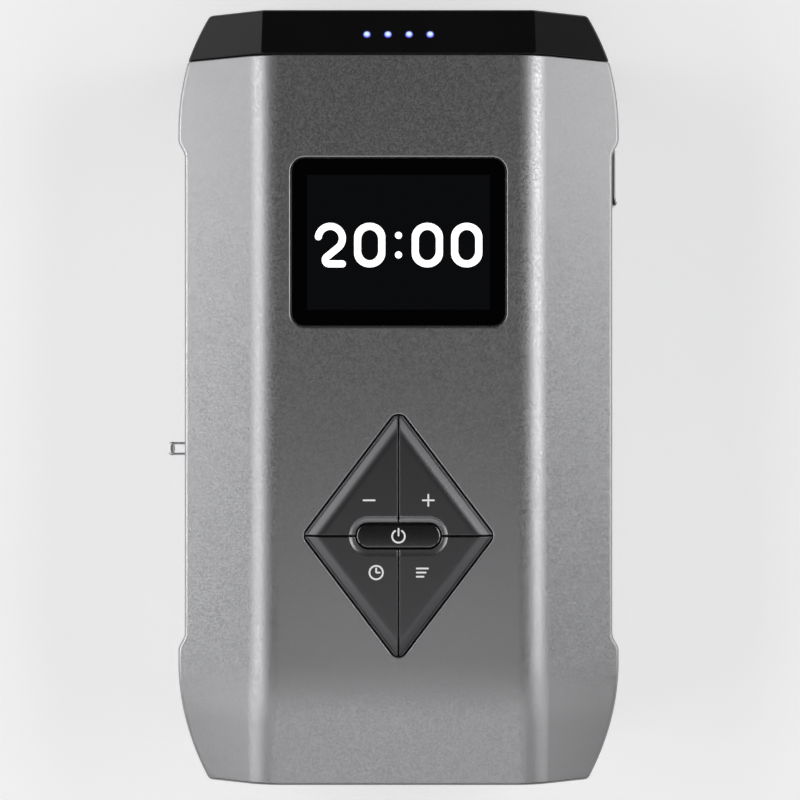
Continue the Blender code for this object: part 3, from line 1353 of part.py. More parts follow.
def pump_cover():
    """Valve cover with the outlet nozzle on its middle."""
    tip = COVER_DEPTH + NOZZLE_LENGTH
    bevel = PUMP_WALL / 2
    profile = [
        (NOZZLE_BORE_RADIUS, tip),
        (NOZZLE_RADIUS, tip),
        (NOZZLE_RADIUS, COVER_DEPTH),
        (PUMP_RADIUS - bevel, COVER_DEPTH),
        (PUMP_RADIUS, COVER_DEPTH - bevel),
        (PUMP_RADIUS, 0),
        (NOZZLE_BORE_RADIUS, 0),
    ]
    return black_satin(turned("pump_cover", profile, (0, PUMP_COVER_Y, PUMP_Z), ROUND_SIDES, True, True))


def intake_filter():
    """Small felt-filled filter on the pump cover."""
    bevel = FILTER_RADIUS / 5
    profile = [(0, FILTER_LENGTH), (FILTER_RADIUS - bevel, FILTER_LENGTH)]
    profile += [(FILTER_RADIUS, FILTER_LENGTH - bevel), (FILTER_RADIUS, 0), (0, 0)]
    place = (-PUMP_RADIUS / 2, PUMP_COVER_END_Y + GAP, PUMP_Z - PUMP_RADIUS / 3)
    return white_nylon(turned("intake_filter", profile, place, SMALL_SIDES, False, True))


def hose_rings(radius, overrun):
    """Rings square to Y: straight over each nozzle, and eased from one nozzle's height to the other's."""
    start, end = PUMP_COVER_END_Y + GAP, MANIFOLD_BACK_Y - GAP
    free_start, free_end = start + NOZZLE_LENGTH, end - NOZZLE_LENGTH
    turns = np.linspace(0, math.tau, SMALL_SIDES, endpoint=False)
    rings = []
    for y in [start - overrun, *np.linspace(free_start, free_end, CORNER_STEPS + 1), end + overrun]:
        share = min(max((y - free_start) / (free_end - free_start), 0), 1)
        z = PUMP_Z + (OUTLET_Z - PUMP_Z) * share * share * (3 - 2 * share)
        rings.append([(radius * math.cos(a), float(y), z + radius * math.sin(a)) for a in turns])
    return rings


def air_hose():
    """Silicone hose pushed over both nozzles."""
    hose = loft("air_hose", hose_rings(HOSE_RADIUS, 0))
    cut(hose, loft("air_hose_bore", hose_rings(HOSE_BORE_RADIUS, OVERRUN)))
    return pale_silicone(hose)


def pump_cradle():
    """Base on the casing floor with two ribs that hold the motor from below."""
    half = CRADLE_WIDTH / 2
    start, end = MOTOR_START_Y + CRADLE_INSET, MOTOR_END_Y - CRADLE_INSET
    cradle = block("pump_cradle", (-half, start, FLOOR_REST), (half, end, FLOOR_REST + CRADLE_BASE))
    for name, low_y in (("rear", start), ("front", end - CRADLE_RIB)):
        low, high = (-half, low_y, FLOOR_REST), (half, low_y + CRADLE_RIB, CRADLE_TOP)
        join(cradle, block("cradle_rib_" + name, low, high))
    low, high = (0, start - OVERRUN, PUMP_Z), (0, end + OVERRUN, PUMP_Z)
    cut(cradle, rod("cradle_seat", MOTOR_RADIUS + GAP, low, high, ROUND_SIDES))
    return dark_rubber(cradle)


def cell_places():
    return [PACK_Y + (i - (CELL_COUNT - 1) / 2) * CELL_PITCH for i in range(CELL_COUNT)]


def battery_tray():
    """Tray on the casing floor with a round seat for every cell."""
    half_x = CELL_LENGTH / 2 + GAP + TRAY_WALL
    half_y = PACK_LENGTH / 2
    low, high = (-half_x, PACK_Y - half_y, FLOOR_REST), (half_x, PACK_Y + half_y, TRAY_TOP)
    tray = block("battery_tray", low, high)
    reach = CELL_LENGTH / 2 + GAP
    for i, y in enumerate(cell_places()):
        start, end = (-reach, y, CELL_Z), (reach, y, CELL_Z)
        cut(tray, rod(f"cell_seat_{i + 1}", CELL_RADIUS + GAP, start, end, ROUND_SIDES))
    return black_satin(tray)


def battery_cells():
    """Round cells that lie across the casing, each with a bevelled rim and a raised contact."""
    half = CELL_LENGTH / 2
    rim = half - CELL_CAP_HEIGHT
    profile = [
        (0, half),
        (CELL_CAP_RADIUS, half),
        (CELL_CAP_RADIUS, rim),
        (CELL_RADIUS - CELL_BEVEL, rim),
        (CELL_RADIUS, rim - CELL_BEVEL),
        (CELL_RADIUS, -half),
        (0, -half),
    ]
    for i, y in enumerate(cell_places()):
        cell = turned(f"battery_cell_{i + 1}", profile, (0, y, CELL_Z))
        cell.rotation_euler.y = math.pi / 2 if i % 2 == 0 else -math.pi / 2
        cell_wrap(cell)


def build():
    clear_scene()
    upper_casing()
    lower_casing()
    facet = cap_facet()
    end_cap(facet)
    light_guide(facet)
    light_board(facet)
    display_window()
    display_module()
    quadrant_key("pressure_down_key", -1, 1)
    quadrant_key("pressure_up_key", 1, 1)
    quadrant_key("time_key", -1, -1)
    quadrant_key("mode_key", 1, -1)
    power_key()
    key_mat()
    main_board()
    buzzer()
    charging_socket()
    charging_cover()
    strap_eyelet()
    feet()
    casing_screws()
    for name, side in (("outlet_socket_left", -1), ("outlet_socket_right", 1)):
        outlet_socket(name, side * OUTLET_X)
    valve_manifold()
    for i, x in enumerate(valve_places()):
        solenoid_valve(i + 1, x)
        valve_plunger(i + 1, x)
    pressure_sensor()
    motor_can()
    motor_plate()
    motor_rotor()
    pump_body()
    wobble_plate()
    diaphragm()
    pump_cover()
    intake_filter()
    air_hose()
    pump_cradle()
    battery_tray()
    battery_cells()


build()
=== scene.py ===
"""Looks of the compression therapy pump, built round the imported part.

X runs across the casing, Y along it towards the black end cap, Z up from the flat underside.
All sizes are in metres, as in the part's source.
"""

import math

import bmesh
import bpy
import numpy as np
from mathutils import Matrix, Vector


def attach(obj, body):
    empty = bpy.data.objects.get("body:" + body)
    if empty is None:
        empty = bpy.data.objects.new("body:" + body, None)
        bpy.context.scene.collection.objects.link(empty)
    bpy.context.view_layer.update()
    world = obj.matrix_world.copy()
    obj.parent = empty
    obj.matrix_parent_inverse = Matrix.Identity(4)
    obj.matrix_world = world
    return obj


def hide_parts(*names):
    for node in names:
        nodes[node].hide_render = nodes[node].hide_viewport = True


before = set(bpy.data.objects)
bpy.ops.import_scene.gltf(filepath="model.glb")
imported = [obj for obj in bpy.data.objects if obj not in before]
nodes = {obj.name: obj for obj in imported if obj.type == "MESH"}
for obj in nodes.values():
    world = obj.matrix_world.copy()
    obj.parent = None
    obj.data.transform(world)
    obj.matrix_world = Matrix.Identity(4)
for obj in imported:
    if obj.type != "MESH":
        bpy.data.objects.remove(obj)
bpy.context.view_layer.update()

# Casing
HALF_LENGTH = 0.10535
HALF_WIDTH = 0.0608
BODY_HEIGHT = 0.0750
SWEEP_LENGTH = 0.0322
SWEEP_DEPTH = 0.0086
TOP_FACE = 0.03675
TOP_DROP = 0.0135
BOTTOM_FACE = 0.0480
BOTTOM_DROP = 0.0110
TOP_CREASE_RADIUS = 0.0185
LOW_CREASE_RADIUS = 0.0080
CAP_CREASE_RADIUS = 0.0015
EDGE_RADIUS = 0.0018
END_RADIUS = 0.0008
SMALLEST_RADIUS = 0.0004
NOSE_LENGTH = 0.0335
NOSE_BEND = 0.0164
NOSE_DROP = 0.0040
SEAM_HEIGHT = 0.0380
WALL = 0.0024
GAP = 0.0003
RECESS_DEPTH = 0.0019
RECESS_REACH = 0.07055
RECESS_SHIFT = 0.0005
RECESS_SLANT = 0.0050
CAP_LENGTH = 0.0133
CAP_DROP = 0.0060
CAP_RISE = 0.0040
CAP_TONGUE = 0.0014
CAP_TONGUE_REACH = 0.0040
JUNCTION_Y = HALF_LENGTH - CAP_LENGTH
RIM_RADIUS = 0.0003
OVERRUN = 0.0040

# Display. A rim is the width and depth of the rounded edge of an opening
WINDOW_Y = 0.0416
WINDOW_SIZE = (0.0583, 0.0458)
WINDOW_CORNER = 0.0039
WINDOW_RIM = (0.00055, 0.00022)
POCKET_DEPTH = 0.0015
MODULE_HOLE = (0.0533, 0.0408, 0.0014)
MODULE_DEPTH = 0.0070
GLASS_THICKNESS = 0.0012
GLASS_EDGE = 0.00015
PICTURE_SIZE = (0.0492, 0.0363)
FIGURE_STROKE = 0.0019
FIGURE_SIZE = (0.0065, 0.0101)
FIGURE_GAP = 0.0022
COLON_GAP = 0.0026
TIME_WIDTH = 0.0451
TIME_DROP = 0.0008
COLON_SHARES = (0.24, 0.76)
PRINT_HEIGHT = 0.00002
PRINT_ROOT = 0.00005

# Keys. A cut is the radius of an edge's round, the width of the cut below it, and its tilt
KEYPAD_Y = -0.0374
KEYPAD_SIZE = (0.0525, 0.0692)
KEYPAD_CORNER = 0.0028
KEYPAD_RIM = (0.00040, 0.00018)
KEY_GAP = 0.0004
KEY_EDGE = 0.0748
KEY_TOP = 0.07618
KEY_BASE = 0.0713
KEY_ROUND = 0.0003
SLOPE_FLAT = 0.0015
SLOPE_END = 0.0048
GROOVE_PLACE = 0.00062
GROOVE_WIDTH = 0.00012
GROOVE_DEPTH = 0.00011
DISH_WIDTH = 0.0020
DISH_DEPTH = 0.00042
DISH_ROUND = 0.00015
SPLIT_ROUND = 0.00026
POWER_SIZE = (0.0226, 0.0065)
POWER_TOP = 0.0756
POWER_CUT = (0.00026, 0.00028, math.radians(18))
MARK_STROKE = 0.00046
MARK_REACH = 0.0015
LESS_MARK = (-0.0079, KEYPAD_Y + 0.0096)
MORE_MARK = (0.0080, KEYPAD_Y + 0.0096)
CLOCK_MARK = (-0.0060, KEYPAD_Y - 0.0098)
MODE_MARK = (0.0064, KEYPAD_Y - 0.0098)

# Charging port, with its blocks as pairs of corners, and its cover
PORT_Y = 0.06095
PORT_Z = 0.0486
HINGE_Y = 0.06985
OUTSIDE = HALF_WIDTH + OVERRUN
SURROUND = ((0.0513, PORT_Y - 0.0086, PORT_Z - 0.0080), (0.0586, HINGE_Y + 0.0025, PORT_Z + 0.0080))
PORT_CUTS = {
    "seat": ((0.0589, PORT_Y - 0.0079, PORT_Z - 0.0071),
             (OUTSIDE, HINGE_Y + 0.0015, PORT_Z + 0.0071)),
    "groove": ((0.0580, HINGE_Y - 0.0016, PORT_Z - 0.0071),
               (OUTSIDE, HINGE_Y + 0.0015, PORT_Z + 0.0071)),
    "port": ((0.0536, PORT_Y - 0.0060, PORT_Z - 0.0060),
             (OUTSIDE, PORT_Y + 0.0060, PORT_Z + 0.0060)),
}
COLLAR_PROFILE = [(0.0043, 0.046), (0.0043, 0.056)]
COVER_INNER = 0.0592
COVER_OUTER = 0.0604
COVER_LIP = 0.0004
COVER_END = PORT_Y - 0.0076
COVER_HALF_HEIGHT = 0.0068
COVER_CUT = (0.00024, 0.00026, math.radians(17))
BARREL_X = 0.0593
BARREL_SIDE = 0.06025
BARREL_RADIUS = 0.0010
PIN_RADIUS = 0.00042
PIN_REACH = 0.0010

# Strap eyelet
EYELET_Y = -0.0146
EYELET_Z = 0.0460
EYELET_ROOT = -0.0551
EYELET_END = -0.0652
EYELET_HOLE = [(0.0008, -0.065), (0.0008, -0.052)]
EYELET_HOLE_Y = 0.00135

# Underside, with (radius, height) profiles of its bosses, wells, holes and pockets
SCREW_PLACES = [(x, y) for x in (-0.0430, 0.0430) for y in (0.04495, -0.06245)]
FOOT_PLACES = [(x, y) for y in (0.08045, -0.09045) for x in (-0.0360, 0.0360)]
BOSS_PROFILE = [(0.0042, 0.0012), (0.0042, SEAM_HEIGHT - GAP / 2)]
WELL_PROFILE = [(0.0044, -0.0010), (0.0032, 0.0002), (0.0032, 0.0220)]
SCREW_HOLE = [(0.0017, 0.021), (0.0017, 0.045)]
FOOT_POCKET = [(0.0073, -OVERRUN), (0.0073, 0.0008)]
FOOT_PROFILE = [(0, 0.0005), (0.007, 0.0005), (0.007, -0.0011), (0.0069, -0.0014),
                (0.0066, -0.0016), (0.0050, -0.0016), (0.0048, -0.0013), (0.0044, -0.0013),
                (0.0042, -0.0016), (0, -0.0016)]
VENT_Y = 0.05445
VENT_SIZE = (0.024, 0.002)
VENT_STEP = 0.0045
VENT_LEVELS = ((-0.0006, 0.0008), (0.0002, 0.0), (0.0064, 0.0))

# End cap: outlets and lights. A profile along Y is a list of (depth behind the face, grow) pairs
OUTLET_X = 0.0240
OUTLET_Z = 0.0340
OUTLET_SIZE = (0.036, 0.016)
OUTLET_CORNER = 0.004
OUTLET_RIM = [(0.0003, 0), (0.0001, 0.0001), (0, 0.0003)]
SOCKET_LENGTH = 0.0166
SOCKET_FLANGE = 0.0015
SOCKET_WALL = 0.0018
SOCKET_PROFILE = [(SOCKET_LENGTH, SOCKET_FLANGE), (WALL, SOCKET_FLANGE), (WALL, 0), (0.0004, 0),
                  (0.0001, -0.0001), (0, -0.0004), (0, -0.0014), (0.0001, -0.0017),
                  (0.0004, -SOCKET_WALL), (0.0086, -SOCKET_WALL), (0.0090, -0.0022)]
BORE_RADIUS = 0.0017
BORE_STEP = 0.0074
BORE_PROFILE = [(BORE_RADIUS, SOCKET_LENGTH + OVERRUN), (BORE_RADIUS, 0.0092),
                (BORE_RADIUS + 0.0004, 0.0088)]
LIGHT_Y = JUNCTION_Y + 0.0060
LIGHT_STEP = 0.0057
LIGHT_X = [(i - 1.5) * LIGHT_STEP for i in range(4)]
LIGHT_RADIUS = 0.00098
LIGHT_DOME = 0.00025
LIGHT_SINK = 0.0001
LIGHT_LENGTH = 0.0034
LIGHT_HOLE = [(0.00105, -0.006), (0.00105, -0.0002), (0.0012, 0.0), (0.0012, 0.003)]
GUIDE_HALF_WIDTH = 0.0012
GUIDE_LEVELS = (-0.0042, -0.0027)


# Mesh helpers

def unit(vectors):
    """The vectors at a length of 1."""
    return vectors / np.linalg.norm(vectors, axis=-1, keepdims=True)


def closed_object(name, shape):
    """Object of a closed bmesh: doubles merged, faces turned outwards, hard edges kept sharp."""
    mesh = bpy.data.meshes.new(name)
    bmesh.ops.remove_doubles(shape, verts=shape.verts, dist=1e-7)
    bmesh.ops.recalc_face_normals(shape, faces=shape.faces)
    shape.to_mesh(mesh)
    shape.free()
    mesh.shade_smooth()
    mesh.set_sharp_from_angle(angle=math.radians(35))
    made = bpy.data.objects.new(name, mesh)
    bpy.context.scene.collection.objects.link(made)
    return made


def to_object(name, vertices, faces):
    """Object of a closed surface."""
    plain = bpy.data.meshes.new(name)
    plain.from_pydata(np.asarray(vertices).reshape(-1, 3).tolist(), [], faces)
    shape = bmesh.new()
    shape.from_mesh(plain)
    bpy.data.meshes.remove(plain)
    return closed_object(name, shape)


def vertex_places(piece):
    """Places of a piece's vertices, one (x, y, z) row each."""
    places = np.empty(3 * len(piece.data.vertices), np.float32)
    piece.data.vertices.foreach_get("co", places)
    return places.reshape(-1, 3).astype(float)


def mark_vertices(piece, name, values):
    """Stores a value for each vertex, for the piece's material to read."""
    layer = piece.data.attributes.new(name, "FLOAT", "POINT")
    layer.data.foreach_set("value", values.astype(np.float32))


def grid_faces(rows, columns, closed):
    """Quads between neighbouring rows of a grid of vertices, round the columns too where closed."""
    across = np.arange(columns if closed else columns - 1)
    row = np.arange(rows - 1)[:, None] * columns
    here, after = row + across, row + (across + 1) % columns
    return np.stack([here, after, after + columns, here + columns], -1).reshape(-1, 4).tolist()


def tube(name, rings, ends=True):
    """Solid through closed rings of as many points each, shut by a flat face at both ends."""
    rows, columns = rings.shape[:2]
    faces = grid_faces(rows, columns, True)
    if ends:
        last = (rows - 1) * columns
        faces += [list(range(columns))[::-1], list(range(last, last + columns))]
    return to_object(name, rings, faces)


def bisectors(corners):
    """Directions from each corner to the one before and the one after, the bisector between them,
    and half the angle."""
    back = unit(np.roll(corners, 1, axis=-2) - corners)
    ahead = unit(np.roll(corners, -1, axis=-2) - corners)
    half = np.arccos(np.clip((back * ahead).sum(-1), -1, 1)) / 2
    return back, ahead, unit(back + ahead), half


def fillet(corners, radii, steps):
    """Outlines whose corners are arcs. Each arc's centre lies on its corner's bisector, at its
    radius over the sine of half the corner's angle, and it touches both sides there."""
    corners = np.asarray(corners, float)
    radii = np.maximum(np.broadcast_to(radii, corners.shape[:-1]), 1e-5)
    back, ahead, middle, half = bisectors(corners)
    centre = corners + middle * (radii / np.sin(half))[..., None]
    reach = (radii / np.tan(half))[..., None]
    first = corners + back * reach - centre
    last = corners + ahead * reach - centre
    start = np.arctan2(first[..., 1], first[..., 0])
    sweep = (np.arctan2(last[..., 1], last[..., 0]) - start + math.pi) % math.tau - math.pi
    angle = start[..., None] + sweep[..., None] * np.linspace(0, 1, steps + 1)
    bend = np.stack([np.cos(angle), np.sin(angle)], -1) * radii[..., None, None]
    return (centre[..., None, :] + bend).reshape(*corners.shape[:-2], -1, 2)


def rectangle(width, height, radius, steps=10):
    """Rounded rectangle about the origin, as (x, y) points."""
    w, h = width / 2, height / 2
    return fillet([(-w, -h), (w, -h), (w, h), (-w, h)], radius, steps)


def grown_rectangle(size, corner, grow):
    """Rounded rectangle grown all round."""
    return rectangle(size[0] + 2 * grow, size[1] + 2 * grow, max(corner + grow, SMALLEST_RADIUS))


def window_outline(grow):
    """The display window's outline, grown all round."""
    return grown_rectangle(WINDOW_SIZE, WINDOW_CORNER, grow)


def stadium(length, width, grow=0.0, steps=20):
    """Outline with two half-round ends, grown all round."""
    radius = width / 2 + grow
    turn = np.linspace(-math.pi / 2, math.pi / 2, steps + 1)
    right = np.stack([(length - width) / 2 + radius * np.cos(turn), radius * np.sin(turn)], -1)
    return np.concatenate([right, -right])


def diamond(inset, steps=10):
    """Keypad outline about the keypad's middle, its sides moved in by an inset."""
    w, h = KEYPAD_SIZE[0] / 2, KEYPAD_SIZE[1] / 2
    share = 1 - inset * math.hypot(w, h) / (w * h)
    corners = [(0, -h * share), (w * share, 0), (0, h * share), (-w * share, 0)]
    return fillet(corners, max(KEYPAD_CORNER - inset, SMALLEST_RADIUS), steps)


def arc(centre, radius, first, last, count=33):
    """Points of an arc between two angles in degrees."""
    turn = np.radians(np.linspace(first, last, count))
    return np.stack([centre[0] + radius * np.cos(turn), centre[1] + radius * np.sin(turn)], -1)


def straight(start, end, count=9):
    """Points of a straight line."""
    return np.linspace(start, end, count)


def at_height(outline, z):
    """A plan outline as points at a height."""
    return np.column_stack([outline, np.full(len(outline), z)])


def upright(name, levels, centre=(0, 0)):
    """Solid through plan outlines at heights, given as (height, outline) pairs."""
    return tube(name, np.stack([at_height(outline + np.array(centre), z) for z, outline in levels]))


def box(name, low, high):
    """Block between two corners."""
    low, high = np.array(low), np.array(high)
    plan = rectangle(*(high - low)[:2], 0, 1)
    return upright(name, [(low[2], plan), (high[2], plan)], (low + high)[:2] / 2)


def turned(name, profile, place, axis="Z", sides=64):
    """Profile of (radius, height) pairs turned about an axis through a place. A radius of 0 ends
    in a point."""
    profile = np.asarray(profile, float)
    turn = np.linspace(0, math.tau, sides, endpoint=False)
    radius = profile[:, 0][:, None]
    x, y = radius * np.cos(turn), radius * np.sin(turn)
    height = np.broadcast_to(profile[:, 1][:, None], x.shape)
    order = {"Z": (x, y, height), "Y": (x, height, y), "X": (height, x, y)}[axis]
    return tube(name, np.stack(order, -1) + np.array(place))


def quarter(radius, count):
    """Steps of a quarter-round edge: how far in from the side, and how far down from the top."""
    angle = np.linspace(0, math.pi / 2, count)
    return radius * (1 - np.sin(angle)), radius * (1 - np.cos(angle))


def cut_edge(radius, cut, tilt):
    """Insets and depths of an edge: a small round, then a narrow cut that falls at a tilt."""
    drop, edge = cut * math.tan(tilt), radius * (1 - math.sin(tilt))
    angle = np.linspace(0, math.pi / 2 - tilt, 6)
    inset = np.append(radius * (1 - np.cos(angle)), [edge + 0.9 * cut, edge + cut + 0.00003])
    return inset, np.append(drop + radius * (math.cos(tilt) - np.sin(angle)), [0.1 * drop, 0])


def rounded_levels(outline_at, base, top, rim, steps):
    """Levels of an upright solid whose outline follows a quarter ellipse at the top, as wide and as
    deep as the rim says. outline_at gives the outline at a distance along the rim's width."""
    width, depth = rim
    return [(base, outline_at(0))] + [
        (top - depth + depth * math.sin(a), outline_at(width * (1 - math.cos(a))))
        for a in np.linspace(0, math.pi / 2, steps)]


def opening_cutter(name, outline_at, base, rim, centre):
    """Cutter of an opening in the top face that widens up to the surface and goes past it."""
    levels = rounded_levels(outline_at, base, BODY_HEIGHT, rim, 9)
    levels.append((BODY_HEIGHT + OVERRUN, outline_at(rim[0])))
    return upright(name, levels, centre)


def carve(target, cutters, operation="DIFFERENCE"):
    """The target with the cutters taken out of it or joined to it, as plain mesh."""
    for cutter in cutters:
        change = target.modifiers.new(cutter.name, "BOOLEAN")
        change.operation = operation
        change.object = cutter
        change.solver = "EXACT"
    bpy.context.view_layer.update()
    finished = target.evaluated_get(bpy.context.evaluated_depsgraph_get())
    made = bpy.data.meshes.new_from_object(finished)
    target.modifiers.clear()
    target.data = made
    made.name = target.name
    for cutter in cutters:
        bpy.data.objects.remove(cutter)
    made.shade_smooth()
    made.set_sharp_from_angle(angle=math.radians(35))
    return target


def even_shading(piece):
    """Large flat faces keep their own direction, so that only the rounds between them shade."""
    change = piece.modifiers.new("flat_faces_first", "WEIGHTED_NORMAL")
    change.keep_sharp = True
    change.weight = 50
    return piece


def shown(piece, material, body, slot, *replaced):
    """Gives a piece its finish and its body, and hides the nodes it stands for."""
    piece.data.materials.clear()
    piece.data.materials.append(material)
    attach(piece, body)
    if replaced:
        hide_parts(*replaced)
    return piece


def as_one(name, pieces, material, body, slot):
    """Separate solids as one piece of the object."""
    joined = bmesh.new()
    for piece in pieces:
        joined.from_mesh(piece.data)
        bpy.data.objects.remove(piece)
    shown(closed_object(name, joined), material, body, slot)


# Casing forms

def sweep_in(distance, length, drop):
    """How far a round arc has left its tangent at a distance, when it has left it by the drop at
    the length."""
    radius = (length * length + drop * drop) / (2 * drop)
    distance = np.clip(distance, 0, length)
    return radius - np.sqrt(radius * radius - distance * distance)


def side_x(y):
    """Half-width of the casing: straight, swept in by arcs at both ends, with a smooth grip
    recess."""
    sweep = sweep_in(np.abs(y) - (HALF_LENGTH - SWEEP_LENGTH), SWEEP_LENGTH, SWEEP_DEPTH)
    t = np.clip((RECESS_REACH - np.abs(y - RECESS_SHIFT)) / RECESS_SLANT, 0, 1)
    return HALF_WIDTH - sweep - RECESS_DEPTH * t * t * (3 - 2 * t)


def top_z(y):
    """Height of the centre face: flat, bent down at the lower end by a parabola that runs on as a
    straight slope, and sloping on the cap."""
    past = np.maximum(-y - (HALF_LENGTH - NOSE_LENGTH), 0)
    bent = np.minimum(past, NOSE_BEND)
    nose = NOSE_DROP * (past - bent + bent ** 2 / (2 * NOSE_BEND)) / (NOSE_LENGTH - NOSE_BEND / 2)
    return BODY_HEIGHT - nose - CAP_DROP * np.maximum(y - JUNCTION_Y, 0) / CAP_LENGTH


def bottom_z(y):
    """Height of the underside: flat, and rising along the cap."""
    return CAP_RISE * np.maximum(y - JUNCTION_Y, 0) / CAP_LENGTH


def facet(face, drop, y, inset):
    """Ends of the facet beside a flat face, moved in by an inset: the crease's x and depth, then
    the edge's x and depth."""
    slope = drop / (HALF_WIDTH - face)
    steepness = math.hypot(1, slope)
    crease = face - inset * (steepness - 1) / slope
    edge = side_x(y) - inset
    return crease, inset, edge, (edge - face) * slope + inset * steepness


def sections(y, inset, upper, lower, foot=None, crease=TOP_CREASE_RADIUS):
    """Closed sections across the casing at places y, from straight sides and facets whose corners
    are rounded. Without upper or lower facets a section ends at the foot."""
    inset = np.broadcast_to(np.asarray(inset, float), y.shape)
    rows, radii = [], []
    top_radius = np.maximum(crease - inset, SMALLEST_RADIUS)
    low_radius = np.maximum(LOW_CREASE_RADIUS - inset, SMALLEST_RADIUS)
    edge_radius = np.maximum(EDGE_RADIUS - inset, SMALLEST_RADIUS)
    open_end = (side_x(y) - inset, np.full_like(y, foot if foot is not None else 0))
    rim = np.full_like(y, RIM_RADIUS)
    if lower:
        cx, cd, ex, ed = facet(BOTTOM_FACE, BOTTOM_DROP, y, inset)
        rows += [(cx, bottom_z(y) + cd), (ex, bottom_z(y) + ed)]
        radii += [low_radius, edge_radius]
    else:
        rows.append(open_end)
        radii.append(rim)
    if upper:
        cx, cd, ex, ed = facet(TOP_FACE, TOP_DROP, y, inset)
        rows += [(ex, top_z(y) - ed), (cx, top_z(y) - cd)]
        radii += [edge_radius, top_radius]
    else:
        rows.append(open_end)
        radii.append(rim)
    half = np.stack([np.stack(np.broadcast_arrays(*row), -1) for row in rows], 1)
    corners = np.concatenate([half, half[:, ::-1] * np.array([-1, 1])], 1)
    radii = np.stack(radii, 1)
    outline = fillet(corners, np.concatenate([radii, radii[:, ::-1]], 1), 12)
    along = np.broadcast_to(y[:, None], outline.shape[:2])
    return np.stack([outline[..., 0], along, outline[..., 1]], -1)


def casing_places(start, end):
    """Places along the casing, close together where its outline bends."""
    low, high = RECESS_SHIFT - RECESS_REACH, RECESS_SHIFT + RECESS_REACH
    ends = HALF_LENGTH - SWEEP_LENGTH
    places = [
        np.linspace(start, -ends, 26),
        np.linspace(-ends, low, 6),
        np.linspace(low, low + RECESS_SLANT, 14),
        np.linspace(low + RECESS_SLANT, high - RECESS_SLANT, 24),
        np.linspace(high - RECESS_SLANT, high, 14),
        np.linspace(high, ends, 6),
        np.linspace(ends, end, 16),
    ]
    found = np.unique(np.round(np.concatenate(places), 7))
    return found[(found >= start) & (found <= end)]


def half_casing(name, upper, rim):
    """Half of the casing as a solid with a rounded end and a fine rounded rim at the cap, and the
    solid that hollows it."""
    inset, in_from_end = quarter(END_RADIUS, 9)
    end_y = JUNCTION_Y - RIM_RADIUS
    body = casing_places(END_RADIUS - HALF_LENGTH, end_y)
    angle = np.linspace(0, math.pi / 2, 5)[1:]
    y = np.concatenate(
        [in_from_end - HALF_LENGTH, body[1:], end_y + RIM_RADIUS * np.sin(angle)])
    moved_in = np.concatenate(
        [inset, np.zeros(len(body) - 1), RIM_RADIUS * (1 - np.cos(angle))])
    shell = tube(name, sections(y, moved_in, upper, not upper, rim))
    inner_y = np.append(casing_places(WALL - HALF_LENGTH, JUNCTION_Y), JUNCTION_Y + OVERRUN)
    past = rim - OVERRUN if upper else rim + OVERRUN
    return shell, tube(name + "_hollow", sections(inner_y, WALL, upper, not upper, past))


# Finishes

def colour(hex_text):
    """Linear colour of an sRGB hex text."""
    value = np.array([int(hex_text[i:i + 2], 16) for i in (0, 2, 4)]) / 255
    linear = np.where(value <= 0.04045, value / 12.92, ((value + 0.055) / 1.055) ** 2.4)
    return (*linear.tolist(), 1.0)


def put(tree, kind, inputs=None, **settings):
    """Adds a node with its settings. Each input is a value, or another node's output to link."""
    made = tree.nodes.new(kind)
    for key, value in settings.items():
        setattr(made, key, value)
    for key, value in (inputs or {}).items():
        if isinstance(value, bpy.types.NodeSocket):
            tree.links.new(value, made.inputs[key])
        else:
            made.inputs[key].default_value = value
    return made


def start_finish(name, **sockets):
    """New material with its shader's sockets set, and the Object coordinates for its patterns."""
    material = bpy.data.materials.new(name)
    material.use_nodes = True
    tree = material.node_tree
    shader = tree.nodes["Principled BSDF"]
    for key, value in sockets.items():
        shader.inputs[key.replace("_", " ")].default_value = value
    where = put(tree, "ShaderNodeTexCoord").outputs["Object"]
    return material, tree, shader, where


def speckle(tree, where, size, dark, light, detail=3.0):
    """Two colours mixed by a fine noise of a real size."""
    noise = put(tree, "ShaderNodeTexNoise", {"Vector": where, "Scale": 1 / size, "Detail": detail})
    mixed = put(tree, "ShaderNodeMix",
                {"Factor": noise.outputs["Fac"], 6: colour(dark), 7: colour(light)},
                data_type="RGBA")
    return mixed.outputs[2]


def grain_bump(tree, shader, where, size, height, strength=1.0):
    """Fine relief of a real size and height on a shader's normal."""
    noise = put(tree, "ShaderNodeTexNoise", {"Vector": where, "Scale": 1 / size, "Detail": 2.0})
    bump = put(tree, "ShaderNodeBump",
               {"Height": noise.outputs["Fac"], "Distance": height, "Strength": strength})
    tree.links.new(bump.outputs["Normal"], shader.inputs["Normal"])


